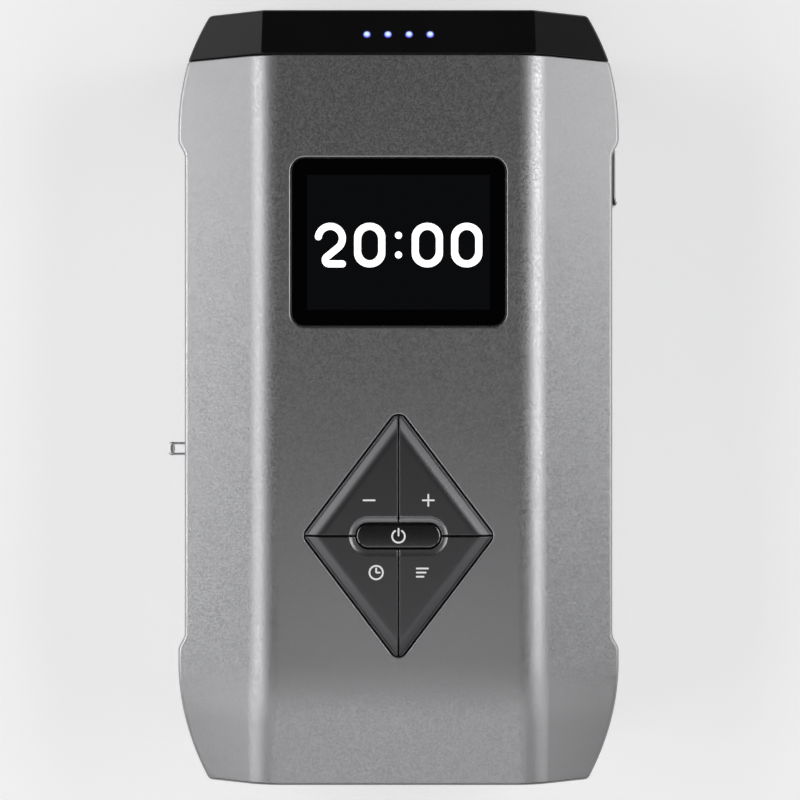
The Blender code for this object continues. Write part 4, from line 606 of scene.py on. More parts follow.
def metallic_lacquer():
    """Silver-grey lacquer with aluminium flake, sprayed on moulded ABS. Each flake leans a little
    differently and is a little smoother or rougher. That gives the eye a fine grain where the
    lacquer mirrors something dark, and an even sheen where it mirrors something light. Real flakes
    of about 0.05 mm are too fine to show, so they are drawn 0.36 mm wide."""
    flake_width, flake_lean, smoothest, roughest = 0.00036, 0.024, 0.29, 0.42
    material, tree, shader, where = start_finish(
        "silver_metallic_lacquer", Metallic=0.9, Roughness=0.36)
    flake = put(tree, "ShaderNodeTexVoronoi", {"Vector": where, "Scale": 1 / flake_width})
    lean = put(tree, "ShaderNodeVectorMath", {0: flake.outputs["Color"], 1: (0.5, 0.5, 0.5)},
               operation="SUBTRACT")
    lean = put(tree, "ShaderNodeVectorMath", {0: lean.outputs[0], "Scale": flake_lean},
               operation="SCALE")
    normal = put(tree, "ShaderNodeNewGeometry").outputs["Normal"]
    lean = put(tree, "ShaderNodeVectorMath", {0: lean.outputs[0], 1: normal}, operation="ADD")
    lean = put(tree, "ShaderNodeVectorMath", {0: lean.outputs[0]}, operation="NORMALIZE")
    tree.links.new(lean.outputs[0], shader.inputs["Normal"])
    single = put(tree, "ShaderNodeSeparateColor", {0: flake.outputs["Color"]})
    mixed = put(tree, "ShaderNodeMix",
                {"Factor": single.outputs[0], 6: colour("b4b4b6"), 7: colour("b8b8ba")},
                data_type="RGBA")
    tree.links.new(mixed.outputs[2], shader.inputs["Base Color"])
    rough = put(tree, "ShaderNodeMapRange",
                {"Value": single.outputs[1], "To Min": smoothest, "To Max": roughest})
    tree.links.new(rough.outputs[0], shader.inputs["Roughness"])
    return material


def graphite_lacquer():
    """Dark metallic lacquer of the keys. Its fine aluminium makes the slopes shine and leaves the
    flats dark; a fine noise in the colour stands for the flakes. The dish round the power key is
    painted a lighter grey, a painted sheen that stands for the light it catches."""
    material, tree, shader, where = start_finish("graphite_lacquer", Metallic=0.9, Roughness=0.32)
    mixed = speckle(tree, where, 0.0003, "666668", "6e6e70")
    # Painted sheen: the dish round the power key gets a lighter grey, standing for light it catches
    cut = put(tree, "ShaderNodeAttribute", attribute_name="painted_sheen_dish").outputs["Fac"]
    both = put(tree, "ShaderNodeMix", {"Factor": cut, 6: mixed, 7: colour("909092")},
               data_type="RGBA")
    tree.links.new(both.outputs[2], shader.inputs["Base Color"])
    grain_bump(tree, shader, where, 0.0004, 0.000004)
    return material


def gloss_black():
    """Piano-black ABS, polished in the mould. Nearly no texture: a faint long wave in the gloss."""
    material, tree, shader, where = start_finish("gloss_black_abs", Roughness=0.16, IOR=1.53)
    mixed = speckle(tree, where, 0.02, "151516", "19191b", 1.0)
    tree.links.new(mixed, shader.inputs["Base Color"])
    grain_bump(tree, shader, where, 0.012, 0.00002, 0.4)
    return material


def cover_glass():
    """Hard-coated acrylic, printed black behind: a mirror-smooth black, a little less black over
    the display's picture."""
    material, tree, shader, where = start_finish("hard_coated_acrylic", Roughness=0.05, IOR=1.49)
    mixed = speckle(tree, where, 0.03, "020203", "040405", 1.0)
    inside = put(tree, "ShaderNodeMapping", {"Vector": where, "Location": (0, -WINDOW_Y, 0)})
    apart = put(tree, "ShaderNodeSeparateXYZ", {0: inside.outputs[0]})
    limits = []
    for axis, size in zip("XY", PICTURE_SIZE):
        across = put(tree, "ShaderNodeMath", {0: apart.outputs[axis]}, operation="ABSOLUTE")
        limits.append(put(tree, "ShaderNodeMath", {0: across.outputs[0], 1: size / 2},
                          operation="LESS_THAN").outputs[0])
    both = put(tree, "ShaderNodeMath", {0: limits[0], 1: limits[1]}, operation="MULTIPLY")
    lit = put(tree, "ShaderNodeMix", {"Factor": both.outputs[0], 6: mixed, 7: colour("121315")},
              data_type="RGBA")
    tree.links.new(lit.outputs[2], shader.inputs["Base Color"])
    return material


def satin_plastic(name, dark, light, roughness, grain=0.0004, height=0.00001):
    """Moulded plastic with the spark-eroded grain of its mould, which softens every reflection."""
    material, tree, shader, where = start_finish(name, Roughness=roughness, IOR=1.53)
    mixed = speckle(tree, where, grain * 2, dark, light)
    tree.links.new(mixed, shader.inputs["Base Color"])
    grain_bump(tree, shader, where, grain, height)
    return material


def metal(name, dark, light, roughness, streak):
    """Plain metal with marks 0.5 mm wide, drawn out along it where streak is smaller."""
    material, tree, shader, where = start_finish(name, Metallic=1.0, Roughness=roughness)
    drawn = put(tree, "ShaderNodeMapping", {"Vector": where, "Scale": streak}).outputs[0]
    tree.links.new(speckle(tree, drawn, 0.0005, dark, light), shader.inputs["Base Color"])
    return material


def glow_with_colour(tree, shader, mixed, glow):
    """Gives a shader a colour that it also glows with."""
    tree.links.new(mixed, shader.inputs["Base Color"])
    tree.links.new(mixed, shader.inputs["Emission Color"])
    shader.inputs["Emission Strength"].default_value = glow


def backlit_face():
    """Clear face of the display's figures over a white backlight: an even, full white."""
    material, tree, shader, where = start_finish("backlit_white", Roughness=0.3)
    glow_with_colour(tree, shader, speckle(tree, where, 0.0004, "ffffff", "ffffff"), 1.0)
    return material


def led_tip():
    """Clear tip of the light guide over a blue-white LED: white in the middle, blue at the rim."""
    material, tree, shader, where = start_finish("blue_white_led", Roughness=0.3)
    away = put(tree, "ShaderNodeAttribute", attribute_name="from_middle").outputs["Fac"]
    share = put(tree, "ShaderNodeMapRange", {"Value": away, "From Min": 0.35, "From Max": 1.05},
                interpolation_type="SMOOTHSTEP").outputs[0]
    glow = put(tree, "ShaderNodeMix", {"Factor": share, 6: colour("c8e6ff"), 7: colour("5a4cd0")},
               data_type="RGBA").outputs[2]
    glow_with_colour(tree, shader, glow, 0.85)
    return material


def white_ink_with_painted_glow():
    """White pad-printed ink, slightly uneven where the plastic's grain shows through. It glows
    faintly, a painted highlight that makes it read whiter."""
    material, tree, shader, where = start_finish("white_pad_print", Roughness=0.5)
    # Painted highlight: the white ink glows faintly, though nothing lights it from behind
    glow_with_colour(tree, shader, speckle(tree, where, 0.0002, "ececec", "f6f6f6"), 0.28)
    return material


LACQUER = metallic_lacquer()
CAP_BLACK = gloss_black()
GLASS = cover_glass()
KEY_GREY = graphite_lacquer()
POWER_BLACK = satin_plastic("black_pc_key", "0b0b0c", "0f0f10", 0.10, height=0.000002)
BLACK_PLASTIC = satin_plastic("black_abs", "161617", "1d1d1e", 0.42)
RUBBER = satin_plastic("black_rubber", "1a1a1a", "222222", 0.75, 0.0006, 0.00003)
SILICONE = satin_plastic("clear_grey_silicone", "b8b8b2", "c6c6c0", 0.5)
NYLON = satin_plastic("natural_nylon", "d2d0c4", "dedcd2", 0.5)
CIRCUIT = satin_plastic("green_solder_mask", "0c4a22", "12562a", 0.35)
WRAP = satin_plastic("blue_heat_shrink", "1d4f86", "245a94", 0.3)
STEEL = metal("zinc_plated_steel", "9a9a9a", "b4b4b4", 0.38, (1, 1, 1))
POLISHED = metal("brushed_stainless", "d0d0d2", "dededf", 0.36, (1, 6, 6))
FIGURE_WHITE = backlit_face()
LIGHT_TIP = led_tip()
CLEAR = satin_plastic("clear_acrylic", "c8ccd4", "d4d8e0", 0.2)
COVER_GREY = satin_plastic("charcoal_abs_cover", "1c1c1e", "222224", 0.20, height=0.000003)
WHITE_INK = white_ink_with_painted_glow()

# A clear hard coat over both: it draws their edges as fine bright lines
for coated, dense in ((POWER_BLACK, 1.9), (COVER_GREY, 1.7)):
    shine = coated.node_tree.nodes["Principled BSDF"].inputs
    shine["Coat Weight"].default_value = 1.0
    shine["Coat Roughness"].default_value = 0.06
    shine["Coat IOR"].default_value = dense


# Pieces

def upper_casing():
    """Upper shell with rounded rims round the window and the keypad, and the port with its seat."""
    shell, hollow = half_casing("upper_casing_shell", True, SEAM_HEIGHT + GAP / 2)
    carve(shell, [hollow])
    carve(shell, [box("surround", *SURROUND)], "UNION")
    pocket = opening_cutter("pocket", window_outline, BODY_HEIGHT - POCKET_DEPTH, WINDOW_RIM,
                            (0, WINDOW_Y))
    under = upright("under", [(BODY_HEIGHT - MODULE_DEPTH, rectangle(*MODULE_HOLE)),
                              (BODY_HEIGHT + OVERRUN, rectangle(*MODULE_HOLE))], (0, WINDOW_Y))
    keypad = opening_cutter("keypad", lambda grow: diamond(-grow), BODY_HEIGHT - WALL - OVERRUN,
                            KEYPAD_RIM, (0, KEYPAD_Y))
    port = [box(name, *corners) for name, corners in PORT_CUTS.items()]
    collar = turned("collar", COLLAR_PROFILE, (0, PORT_Y, PORT_Z), "X")
    eyelet_holes = [turned("eyelet_hole", EYELET_HOLE,
                           (0, EYELET_Y + side * EYELET_HOLE_Y, EYELET_Z), "X", 24)
                    for side in (-1, 1)]
    carve(shell, [pocket, under, keypad, *port, collar, *eyelet_holes])
    shown(even_shading(shell), LACQUER, "housing", "silver_paint", "upper_casing")


def lower_casing():
    """Lower shell with screw wells, foot pockets and vent slots."""
    shell, hollow = half_casing("lower_casing_shell", False, SEAM_HEIGHT - GAP / 2)
    carve(shell, [hollow])
    carve(shell, [turned("boss", BOSS_PROFILE, (x, y, 0), sides=32) for x, y in SCREW_PLACES],
          "UNION")
    cuts = []
    for x, y in SCREW_PLACES:
        cuts.append(turned("well", WELL_PROFILE, (x, y, 0), sides=32))
        cuts.append(turned("hole", SCREW_HOLE, (x, y, 0), sides=24))
    cuts += [turned("foot_pocket", FOOT_POCKET, (x, y, 0)) for x, y in FOOT_PLACES]
    levels = [(z, stadium(*VENT_SIZE, grow)) for z, grow in VENT_LEVELS]
    cuts += [upright("vent", levels, (0, VENT_Y + (i - 2.5) * VENT_STEP)) for i in range(6)]
    carve(shell, cuts)
    shown(even_shading(shell), LACQUER, "housing", "silver_paint", "lower_casing")


def facet_frame():
    """Middle of the lights on the cap's sloping facet, and the directions across, up it and out."""
    tilt = math.atan2(CAP_DROP, CAP_LENGTH)
    place = np.array([0, LIGHT_Y, float(top_z(np.array(LIGHT_Y)))])
    return (place, np.array([1.0, 0, 0]), np.array([0, math.cos(tilt), -math.sin(tilt)]),
            np.array([0, math.sin(tilt), math.cos(tilt)]))


def on_facet(name, x, profile, sides=32):
    """Profile of (radius, height) pairs turned about the facet's outward direction, at x."""
    place, across, along, out = facet_frame()
    profile = np.asarray(profile, float)
    turn = np.linspace(0, math.tau, sides, endpoint=False)
    radius = profile[:, 0][:, None, None]
    flat = np.cos(turn)[:, None] * across + np.sin(turn)[:, None] * along
    rings = place + x * across + radius * flat + profile[:, 1][:, None, None] * out
    return tube(name, rings)


def end_cap():
    """Glossy black cup: rounded end, fine rounded rim at the junction, and a tongue inside the
    casings."""
    inset, down = quarter(END_RADIUS, 7)
    start = JUNCTION_Y + GAP
    angle = np.linspace(math.pi / 2, 0, 5)
    tongue, inner = WALL + GAP, WALL + GAP + CAP_TONGUE
    tongue_end = JUNCTION_Y - CAP_TONGUE_REACH
    y = np.concatenate([
        HALF_LENGTH - down,
        np.linspace(HALF_LENGTH - END_RADIUS, start + RIM_RADIUS, 14)[1:-1],
        start + RIM_RADIUS - RIM_RADIUS * np.cos(angle),
        [start, tongue_end, tongue_end, start + CAP_TONGUE / 2, start + CAP_TONGUE,
         HALF_LENGTH - WALL]])
    moved = np.concatenate([
        inset, np.zeros(12), RIM_RADIUS * (1 - np.sin(angle)),
        [tongue, tongue, inner, inner, WALL, WALL]])
    crease = np.where((moved == tongue) | (moved == inner), TOP_CREASE_RADIUS, CAP_CREASE_RADIUS)
    cap = tube("end_cap_shell", sections(y, moved, True, True, crease=crease))
    depths = [(WALL + OVERRUN, 0), *OUTLET_RIM, (-OVERRUN, OUTLET_RIM[-1][1])]
    hole = [(HALF_LENGTH - depth, GAP + grow) for depth, grow in depths]
    cuts = [outlet_prism("outlet_hole", x, hole) for x in (-OUTLET_X, OUTLET_X)]
    cuts += [on_facet("light_hole", x, LIGHT_HOLE) for x in LIGHT_X]
    carve(cap, cuts)
    shown(even_shading(cap), CAP_BLACK, "housing", "black_gloss", "end_cap")


def outlet_prism(name, x, stations):
    """Solid along Y through outlet outlines, each grown all round, at (y, grow) stations."""
    rings = []
    for y, grow in stations:
        ring = grown_rectangle(OUTLET_SIZE, OUTLET_CORNER, grow)
        rings.append(np.column_stack(
            [ring[:, 0] + x, np.full(len(ring), y), ring[:, 1] + OUTLET_Z]))
    return tube(name, np.stack(rings))


def outlet_sockets():
    """Rubber sockets: a rounded rim, a deep recess and four round bores in its floor."""
    front = HALF_LENGTH - GAP
    stations = [(front - depth, grow) for depth, grow in SOCKET_PROFILE]
    bore = [(radius, front - depth) for radius, depth in BORE_PROFILE]
    for side, x in (("left", -OUTLET_X), ("right", OUTLET_X)):
        socket = outlet_prism(f"outlet_{side}_body", x, stations)
        carve(socket, [turned("bore", bore, (x + (i - 1.5) * BORE_STEP, 0, OUTLET_Z), "Y", 32)
                       for i in range(4)])
        shown(even_shading(socket), RUBBER, "housing", "black_rubber", f"outlet_socket_{side}")


def lights():
    """Domed tips of the light guide, and the bar that joins them behind the cap."""
    turn = np.linspace(0, math.pi / 2, 9)
    dome = np.stack([LIGHT_RADIUS * np.cos(turn), LIGHT_DOME * np.sin(turn) - LIGHT_SINK], -1)
    profile = np.concatenate([[(LIGHT_RADIUS, -LIGHT_LENGTH)], dome])
    place, across, along, out = facet_frame()
    for i, x in enumerate(LIGHT_X):
        tip = on_facet(f"light_tip_{i + 1}", x, profile, 48)
        away = np.linalg.norm(vertex_places(tip) - place - x * across, axis=1)
        mark_vertices(tip, "from_middle", away / LIGHT_RADIUS)
        shown(tip, LIGHT_TIP, "housing", "clear_plastic")
    reach = LIGHT_X[-1] + GUIDE_HALF_WIDTH
    corner = np.array([(-1, -1), (1, -1), (1, 1), (-1, 1)]) * (reach, GUIDE_HALF_WIDTH)
    flat = place + corner[:, :1] * across + corner[:, 1:] * along
    bar = tube("light_guide_bar", np.stack([flat + height * out for height in GUIDE_LEVELS]))
    shown(bar, CLEAR, "housing", "clear_plastic", "light_guide")


def band(name, line, width, base, top):
    """Flat band of an even width along a line, with half-round ends."""
    line = np.asarray(line, float)
    ahead = unit(np.gradient(line, axis=0))
    turn = np.linspace(0, math.pi / 2, 7)[:-1]
    start = line[0] - ahead[0] * width / 2 * np.cos(turn)[:, None]
    end = line[-1] + ahead[-1] * width / 2 * np.cos(turn[::-1])[:, None]
    half = width / 2 * np.concatenate([np.sin(turn), np.ones(len(line)), np.sin(turn[::-1])])
    line = np.concatenate([start, line, end])
    ahead = np.concatenate([np.tile(ahead[0], (6, 1)), ahead, np.tile(ahead[-1], (6, 1))])
    side = np.stack([-ahead[:, 1], ahead[:, 0]], -1) * half[:, None]
    rows = [(line + side, base), (line - side, base), (line - side, top), (line + side, top)]
    return tube(name, np.stack([at_height(*row) for row in rows], 1))


def closed_band(name, outer, inner, base, top):
    """Flat band between two closed outlines of as many points each."""
    rows = [(outer, base), (outer, top), (inner, top), (inner, base), (outer, base)]
    return tube(name, np.stack([at_height(*row) for row in rows]), False)


def numerals():
    """The time in white figures on the display: strokes of an even width with round ends. The 2 is
    an arc, its tangent down to the foot's bend, and a straight foot."""
    stroke, (width, height) = FIGURE_STROKE, FIGURE_SIZE
    low, high = BODY_HEIGHT - PRINT_ROOT, BODY_HEIGHT + PRINT_HEIGHT
    base_y = WINDOW_Y - TIME_DROP - height / 2
    left = (stroke - TIME_WIDTH) / 2
    step = width + stroke + FIGURE_GAP
    colon = left + step + width + stroke + COLON_GAP
    past_colon = colon + stroke + COLON_GAP

    radius, corner = width / 2, stroke / 2 + 0.0001
    bow = np.array([radius, height - radius])
    lean = math.atan2(bow[1], bow[0]) - math.asin(radius / np.hypot(*bow))
    leave = bow + radius * np.array([math.sin(lean), -math.cos(lean)])
    foot = np.array([corner / math.tan(lean / 2), corner])
    two = np.concatenate([
        arc(bow, radius, 172, math.degrees(lean) - 90),
        straight(leave, foot + corner * np.array([-math.sin(lean), math.cos(lean)]))[1:],
        arc(foot, corner, math.degrees(lean) + 90, 270)[1:],
        straight((foot[0], 0), (width, 0))[1:]])
    pieces = [band("two", two + np.array([left, base_y]), stroke, low, high)]

    pill = stadium(height, width)[:, ::-1] * np.array([-1, 1])
    for x in (left + step, past_colon, past_colon + step):
        middle = np.array([x + width / 2, base_y + height / 2])
        sides = [middle + pill * (1 + side * stroke / np.array(FIGURE_SIZE)) for side in (1, -1)]
        pieces.append(closed_band("nought", *sides, low, high))
    for share in COLON_SHARES:
        dot = [(0, low), (stroke / 2, low), (stroke / 2, high), (0, high)]
        pieces.append(turned("dot", dot, (colon, base_y + share * height, 0), sides=32))
    as_one("time_numerals", pieces, FIGURE_WHITE, "housing", "display_glass")


def printed(name, body, top, place, *lines):
    """A sign of even strokes, printed on a key's top at a place."""
    pieces = [band(name, line + np.array(place), MARK_STROKE, top - PRINT_ROOT, top + PRINT_HEIGHT)
              for line in lines]
    as_one(name, pieces, WHITE_INK, body, "grey_key")


def key_marks():
    """Printed signs on the keys: less, more, a clock, three bars, and the power sign."""
    dash = straight((-MARK_REACH, 0), (MARK_REACH, 0))
    printed("less_mark", "pressure_down_key", KEY_TOP, LESS_MARK, dash)
    printed("more_mark", "pressure_up_key", KEY_TOP, MORE_MARK, dash)
    off_dash = 0.00047
    for i, side in enumerate((-1, 1)):
        printed(f"more_mark_{i + 1}", "pressure_up_key", KEY_TOP, MORE_MARK,
                straight((0, side * off_dash), (0, side * MARK_REACH)))
    radius, bend, hour, minute = 0.0018, 0.0002, 0.0009, 0.0011
    low, high = KEY_TOP - PRINT_ROOT, KEY_TOP + PRINT_HEIGHT
    rim = [arc(CLOCK_MARK, radius + side * MARK_STROKE / 2, 0, 360, 65)[:-1] for side in (1, -1)]
    hands = np.concatenate([
        straight((0, minute), (0, bend)), arc((bend, bend), bend, 180, 270, 7)[1:],
        straight((bend, 0), (hour, 0))[1:]])
    as_one("clock_mark",
           [closed_band("rim", *rim, low, high),
            band("hands", hands + np.array(CLOCK_MARK), MARK_STROKE, low, high)],
           WHITE_INK, "time_key", "grey_key")
    step, taper = 0.0011, 0.0006
    bars = [straight((-MARK_REACH, i * step), (MARK_REACH - (1 - i) * taper, i * step))
            for i in (-1, 0, 1)]
    printed("mode_mark", "mode_key", KEY_TOP, MODE_MARK, *bars)
    ring, sunk, rise = 0.0017, 0.0001, 0.0019
    printed("power_mark", "power_key", POWER_TOP, (0, KEYPAD_Y),
            arc((0, -sunk), ring, 122, 418, 49), straight((0, sunk), (0, rise)))


def display():
    """Cover glass with a fine rounded edge, flush with the casing."""
    levels = rounded_levels(lambda inset: window_outline(-GAP - inset),
                            BODY_HEIGHT - GLASS_THICKNESS, BODY_HEIGHT, (GLASS_EDGE, GLASS_EDGE), 6)
    glass = upright("cover_glass_plate", levels, (0, WINDOW_Y))
    shown(even_shading(glass), GLASS, "housing", "display_glass", "display_window")


def charging_cover():
    """Hinged cover of the charging socket: a thin plate with a finger lip and cut edges, and a
    barrel with its pins. For the cut edge each corner moves along its bisector by the inset over
    the sine of half its angle, outwards where the corner points inwards."""
    lip = COVER_OUTER + COVER_LIP
    corners = np.array([
        (COVER_INNER, COVER_END), (lip, COVER_END), (lip, COVER_END + 0.0008),
        (COVER_OUTER, COVER_END + 0.0024), (COVER_OUTER, HINGE_Y - 0.0020),
        (BARREL_SIDE, HINGE_Y), (COVER_INNER, HINGE_Y)])
    radii = np.array([0.0004, 0.0005, 0.0006, 0.0012, 0.0010, 0.0002, 0.0002])
    back, ahead, middle, half = bisectors(corners)
    turning = np.sign(ahead[:, 0] * back[:, 1] - ahead[:, 1] * back[:, 0])[:, None]

    def outline(inset):
        """The cover's outline, its sides moved in by an inset."""
        moved = corners + turning * middle * (inset / np.sin(half))[:, None]
        return fillet(moved, np.maximum(radii - turning[:, 0] * inset, 0.00003), 5)

    base, top = PORT_Z - COVER_HALF_HEIGHT, PORT_Z + COVER_HALF_HEIGHT
    inset, down = cut_edge(*COVER_CUT)
    levels = [(base + d, outline(i)) for d, i in zip(down[::-1], inset[::-1])]
    levels += [(top - d, outline(i)) for d, i in zip(down, inset)]
    plate = upright("charging_cover_plate", levels)
    pin_base, pin_top = base - PIN_REACH, top + PIN_REACH
    barrel_base, barrel_top = base + 0.0001, top - 0.0001
    barrel = turned("barrel", [
        (PIN_RADIUS, pin_base), (PIN_RADIUS, barrel_base), (BARREL_RADIUS, barrel_base),
        (BARREL_RADIUS, barrel_top), (PIN_RADIUS, barrel_top), (PIN_RADIUS, pin_top)],
        (BARREL_X, HINGE_Y, 0), sides=32)
    carve(plate, [barrel], "UNION")
    shown(even_shading(plate), COVER_GREY, "charging_cover", "grey_key", "charging_cover")


def edge_rounding(distance, radius):
    """How far a quarter-round edge has dropped at a distance from the side."""
    inside = np.clip(distance, 0, radius)
    return radius - np.sqrt(np.maximum(radius ** 2 - (radius - inside) ** 2, 0))


def from_power_key(x, y):
    """Distance from the power key's outline, about the keypad's middle."""
    along = np.maximum(np.abs(x) - (POWER_SIZE[0] - POWER_SIZE[1]) / 2, 0)
    return np.hypot(along, y) - POWER_SIZE[1] / 2


def key_height(x, y):
    """Height of a key's top about the keypad's middle. From the diamond's edge a slope rises evenly
    and then eases into the flat. Round the power key a hollow dish falls steeply first and then
    levels out, as a parabola. A fine groove, as deep as a bell curve of its distance, follows the
    diamond's edge, and every edge is a small round."""
    w, h = KEYPAD_SIZE[0] / 2, KEYPAD_SIZE[1] / 2
    reach = w * h / math.hypot(w, h)
    edge = np.maximum((1 - np.abs(x) / w - np.abs(y) / h) * reach - KEY_GAP, 0)
    span = SLOPE_END - SLOPE_FLAT
    steep = (KEY_TOP - KEY_EDGE) / (SLOPE_FLAT + span / 2)
    t = np.clip((edge - SLOPE_FLAT) / span, 0, 1)
    slope = KEY_EDGE + steep * (np.minimum(edge, SLOPE_FLAT) + span * (t - t ** 3 + t ** 4 / 2))
    pill = from_power_key(x, y)
    t = np.clip((pill - KEY_GAP) / (DISH_WIDTH - KEY_GAP), 0, 1)
    dish = KEY_TOP - DISH_DEPTH * (1 - t ** 2)
    split = np.minimum(np.abs(x), np.abs(y)) - KEY_GAP / 2
    height = np.minimum(slope, dish)
    height = height - GROOVE_DEPTH * np.exp(-((edge - GROOVE_PLACE) / GROOVE_WIDTH) ** 2)
    height = height - edge_rounding(split, SPLIT_ROUND) - edge_rounding(edge, KEY_ROUND)
    return height - edge_rounding(pill - KEY_GAP, DISH_ROUND)


def dense_ends(count, closeness=0.85):
    """Shares from 0 to 1 that lie closer together at both ends, by a sine wave."""
    t = np.linspace(0, 1, count)
    return t - closeness * np.sin(math.tau * t) / math.tau


def along_path(points, count):
    """Points at shares of a path's length, closer together at both ends."""
    step = np.linalg.norm(np.diff(points, axis=0), axis=1)
    length = np.concatenate([[0], np.cumsum(step)])
    wanted = dense_ends(count) * length[-1]
    return np.stack([np.interp(wanted, length, points[:, i]) for i in (0, 1)], -1)


def first_quarter(outline):
    """The outline's points in the quarter of positive x and y, half a gap off both axes, in the
    order of their angle."""
    part = outline[(outline >= KEY_GAP / 2 - 1e-9).all(-1)]
    return part[np.argsort(np.arctan2(part[:, 1], part[:, 0]))]


def quadrant_key(name, x_sign, y_sign):
    """Key over one quarter of the diamond: a grid from the diamond's outline to the power key's,
    closed below. Its height is key_height."""
    half_gap = KEY_GAP / 2
    outer = first_quarter(diamond(KEY_GAP, 12))
    outer = np.concatenate([[(outer[0, 0], half_gap)], outer, [(half_gap, outer[-1, 1])]])
    inner = first_quarter(stadium(*POWER_SIZE, KEY_GAP, 48))
    inner = np.concatenate(
        [[(inner[0, 0], half_gap)], inner, [(half_gap, POWER_SIZE[1] / 2 + KEY_GAP)]])
    count, rows = 121, 81
    v = dense_ends(rows)[:, None, None]
    plan = along_path(outer, count) * (1 - v) + along_path(inner, count) * v
    height = key_height(plan[..., 0], plan[..., 1])[..., None]
    place = plan * np.array([x_sign, y_sign]) + np.array([0, KEYPAD_Y])
    top = np.concatenate([place, height], -1)
    base = np.concatenate([place, np.full_like(height, KEY_BASE)], -1)
    total = rows * count
    faces = grid_faces(rows, count, False)
    faces += (np.array(faces)[:, ::-1] + total).tolist()
    index = np.arange(total).reshape(rows, count)
    border = np.concatenate([index[0], index[1:, -1], index[-1, -2::-1], index[-2:0:-1, 0]])
    after = np.roll(border, -1)
    faces += np.stack([border, border + total, after + total, after], -1).tolist()
    key = to_object(name + "_cap", np.concatenate([top, base]), faces)
    found = vertex_places(key)
    in_dish = from_power_key(found[:, 0], found[:, 1] - KEYPAD_Y) < DISH_WIDTH
    # Marks the dish round the power key, which the lacquer paints lighter as a painted sheen
    mark_vertices(key, "painted_sheen_dish", in_dish)
    shown(key, KEY_GREY, name, "grey_key", name)


def power_key():
    """Pill-shaped key with a narrow cut along its edge."""
    inset, down = cut_edge(*POWER_CUT)
    levels = [(KEY_BASE, stadium(*POWER_SIZE))]
    levels += [(POWER_TOP - d, stadium(*POWER_SIZE, -i)) for d, i in zip(down, inset)]
    key = upright("power_key_cap", levels, (0, KEYPAD_Y))
    shown(even_shading(key), POWER_BLACK, "power_key", "black_key", "power_key")


def eyelet():
    """Steel wire carried along a U with round corners. Its section is an ellipse, thin in the legs
    and pressed wide in the bow, eased from one into the other by a smooth step."""
    reach, wire, broad, thin, corner = 0.0015, 0.0005, 0.00095, 0.00036, 0.0009
    bend = EYELET_END + broad + corner
    line = np.concatenate([
        straight((EYELET_ROOT, reach), (bend, reach), 24)[:-1],
        arc((bend, reach - corner), corner, 90, 180, 17),
        arc((bend, corner - reach), corner, 180, 270, 17),
        straight((bend, -reach), (EYELET_ROOT, -reach), 24)[1:]])
    ahead = unit(np.gradient(line, axis=0))
    side = np.stack([-ahead[:, 1], ahead[:, 0]], -1)
    t = np.clip((bend - line[:, 0]) / corner, 0, 1)
    half = (thin + (broad - thin) * t * t * (3 - 2 * t))[:, None, None]
    around = np.linspace(0, math.tau, 24, endpoint=False)
    flat = line[:, None] + half * np.cos(around)[None, :, None] * side[:, None]
    height = np.broadcast_to(wire * np.sin(around), flat.shape[:2])
    rings = np.concatenate([flat + np.array([0, EYELET_Y]), height[..., None] + EYELET_Z], -1)
    shown(tube("eyelet_wire", rings), POLISHED, "housing", "bright_metal", "strap_eyelet")


def feet():
    """Rubber feet with a rounded edge and a shallow ring."""
    for i, (x, y) in enumerate(FOOT_PLACES):
        shown(turned(f"foot_{i + 1}_pad", FOOT_PROFILE, (x, y, 0)), RUBBER, "housing",
              "black_rubber", f"foot_{i + 1}")


def carried_over():
    """Finishes of the nodes that stay as they are."""
    finishes = {
        "charging_socket": BLACK_PLASTIC, "key_mat": SILICONE, "main_board": CIRCUIT,
        "light_board": CIRCUIT, "buzzer": BLACK_PLASTIC, "display_module": STEEL,
        "valve_manifold": NYLON, "pressure_sensor": BLACK_PLASTIC, "motor_can": STEEL,
        "motor_plate": BLACK_PLASTIC, "motor_rotor": STEEL, "pump_body": BLACK_PLASTIC,
        "wobble_plate": NYLON, "diaphragm": RUBBER, "pump_cover": BLACK_PLASTIC,
        "intake_filter": NYLON, "air_hose": SILICONE, "pump_cradle": RUBBER,
        "battery_tray": BLACK_PLASTIC,
    }
    for i in range(1, 5):
        finishes[f"casing_screw_{i}"] = STEEL
        finishes[f"solenoid_valve_{i}"] = STEEL
        finishes[f"valve_plunger_{i}"] = POLISHED
        finishes[f"battery_cell_{i}"] = WRAP
    for name, finish in finishes.items():
        nodes[name].data.materials.clear()
        nodes[name].data.materials.append(finish)


# Studio

# Soft boxes: place round the object and height above the floor in degrees, width, length, power
SOFT_BOXES = {
    "right_tall": (22, 24, 0.40, 0.50, 0.45),
    "right_high": (6, 50, 0.45, 0.24, 1.15),
    "right_back_high": (30, 48, 0.26, 0.22, 0.33),
    "right_low": (5, 10, 0.50, 0.22, 1.11),
    "right_back_low": (44, 8, 0.30, 0.16, 0.03),
    "left_back_low": (136, 8, 0.30, 0.16, 0.108),
    "left_tall": (158, 24, 0.40, 0.50, 0.38),
    "left_high": (178, 48, 0.45, 0.28, 0.89),
    "left_back_high": (150, 44, 0.26, 0.22, 0.47),
    "left_low": (178, 9, 0.50, 0.22, 1.7),
    "left_front": (210, 38, 0.30, 0.50, 0.84),
    "right_front": (330, 38, 0.30, 0.50, 0.54),
    "front": (270, 58, 0.70, 0.26, 0.61),
    "front_low": (270, 30, 0.60, 0.25, 0.32),
    "overhead": (270, 77, 0.20, 0.20, 0.095),
    "left_back_top": (124, 64, 0.20, 0.20, 0.012),
    "right_back_top": (56, 64, 0.20, 0.20, 0.012),
}
LAMP_DISTANCE = 0.9
AIM = Vector((0, 0, 0.05))
FLOOR_Z = -0.0016
FLOOR_SIZE = 3.0
FLOOR_CORNER = 0.2
FLOOR_THICKNESS = 0.01
